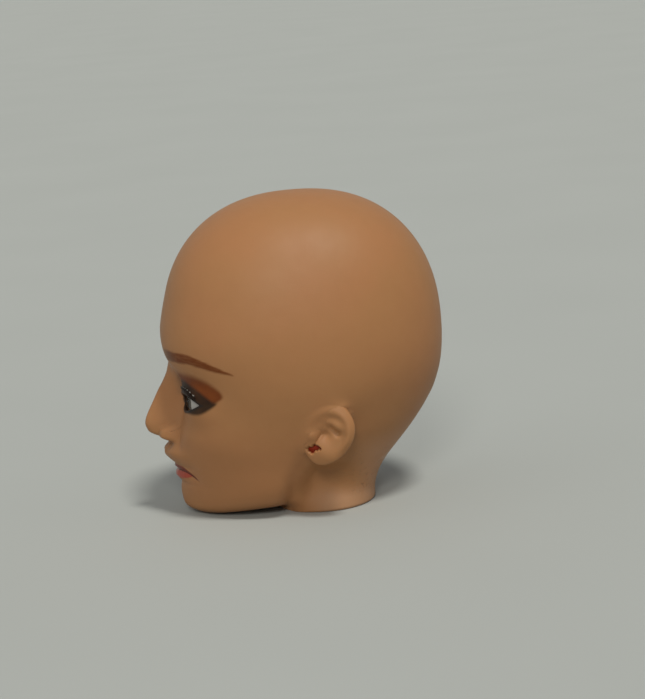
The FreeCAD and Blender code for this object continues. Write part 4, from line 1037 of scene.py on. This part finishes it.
# Lamps: direction towards the lamp, spread in degrees, strength and colour
LAMPS = {"overhead": ((0.44, 0.18, 0.88), 11, 1.88, (1.0, 0.98, 0.95)),
         "side": ((0.85, -0.12, 0.50), 14, 0.98, (1.0, 0.99, 0.96)),
         "front_fill": ((0.25, -0.95, 0.18), 90, 0.30, (1.0, 0.99, 0.97))}
SKY_COLOUR, SKY_STRENGTH, BACKDROP = (0.93, 0.95, 1.0), 0.31, tone(172, 175, 169)
# Camera: degrees of azimuth, elevation and roll, distance and aim in mm, and the aim's shift right and up
VIEW_ANGLES, VIEW_DISTANCE, VIEW_AIM, VIEW_SHIFT = (86.0, 11.0, 4.5), 280.0, (0.0, 0.0, 18.0), (1.04, 1.12)
FOCAL_LENGTH, SENSOR_WIDTH = 125.0, 36.0


def link(item):
    """Put an object in the scene."""
    bpy.context.scene.collection.objects.link(item)


def pale_floor():
    """Square of pale, faintly uneven paper."""
    mesh = bpy.data.meshes.new("floor")
    corners = [(x * FLOOR_HALF, y * FLOOR_HALF, 0) for x, y in ((-1, -1), (1, -1), (1, 1), (-1, 1))]
    mesh.from_pydata(corners, [], [(0, 1, 2, 3)])
    floor = bpy.data.objects.new("floor", mesh)
    link(floor)
    paper = Finish("pale_paper", Roughness=0.9)
    paper.set(Base_Color=paper.mix(paper.noise(0.02, 2.0), tone(166, 169, 163), tone(171, 174, 168)))
    dress(floor, paper.material)
    return floor


def studio_world():
    """Soft sky for the light, and a pale backdrop that camera, glossy and transmission rays see."""
    world = bpy.data.worlds.new("studio")
    bpy.context.scene.world = world
    world.use_nodes = True
    nodes, join = world.node_tree.nodes, world.node_tree.links.new
    sky, backdrop = nodes["Background"], nodes.new("ShaderNodeBackground")
    sky.inputs["Color"].default_value = (*SKY_COLOUR, 1.0)
    sky.inputs["Strength"].default_value = SKY_STRENGTH
    backdrop.inputs["Color"].default_value = (*BACKDROP, 1.0)
    path = nodes.new("ShaderNodeLightPath")
    rays = path.outputs["Is Camera Ray"]
    for kind in ("Is Glossy Ray", "Is Transmission Ray"):
        either = nodes.new("ShaderNodeMath")
        either.operation = "MAXIMUM"
        join(rays, either.inputs[0])
        join(path.outputs[kind], either.inputs[1])
        rays = either.outputs[0]
    choice = nodes.new("ShaderNodeMixShader")
    for socket, source in enumerate((rays, sky.outputs[0], backdrop.outputs[0])):
        join(source, choice.inputs[socket])
    join(choice.outputs[0], nodes["World Output"].inputs["Surface"])


def sky_lamp(name, toward, spread, strength, colour):
    """Even, far lamp that shines from a direction; its spread in degrees softens the shadows."""
    light = bpy.data.lights.new(name, "SUN")
    light.angle, light.energy, light.color = np.radians(spread), strength, colour
    item = bpy.data.objects.new(name, light)
    item.matrix_world = Vector(toward).to_track_quat("Z", "Y").to_matrix().to_4x4()
    link(item)


def photo_camera():
    """Camera on a sphere round its aim, rolled about its line of sight."""
    turn, rise, roll = np.radians(VIEW_ANGLES)
    back = np.array([np.sin(turn) * np.cos(rise), -np.cos(turn) * np.cos(rise), np.sin(rise)])
    right = np.array([np.cos(turn), np.sin(turn), 0.0])
    up = np.cross(back, right)
    aim = np.array(VIEW_AIM) + right * VIEW_SHIFT[0] + up * VIEW_SHIFT[1]
    data = bpy.data.cameras.new("photo_camera")
    data.sensor_fit = "HORIZONTAL"
    data.sensor_width, data.lens = SENSOR_WIDTH, FOCAL_LENGTH
    data.clip_start, data.clip_end = 0.01, 20.0
    camera = bpy.data.objects.new("photo_camera", data)
    pose = np.eye(4)
    pose[:3, 0] = right * np.cos(roll) - up * np.sin(roll)
    pose[:3, 1] = right * np.sin(roll) + up * np.cos(roll)
    pose[:3, 2] = back
    pose[:3, 3] = (aim + back * VIEW_DISTANCE) * MM
    camera.matrix_world = Matrix(pose.tolist())
    link(camera)
    bpy.context.scene.camera = camera


floor = pale_floor()
studio_world()
for name, settings in LAMPS.items():
    sky_lamp(name, *settings)
photo_camera()
bpy.context.scene.view_settings.view_transform = "Standard"
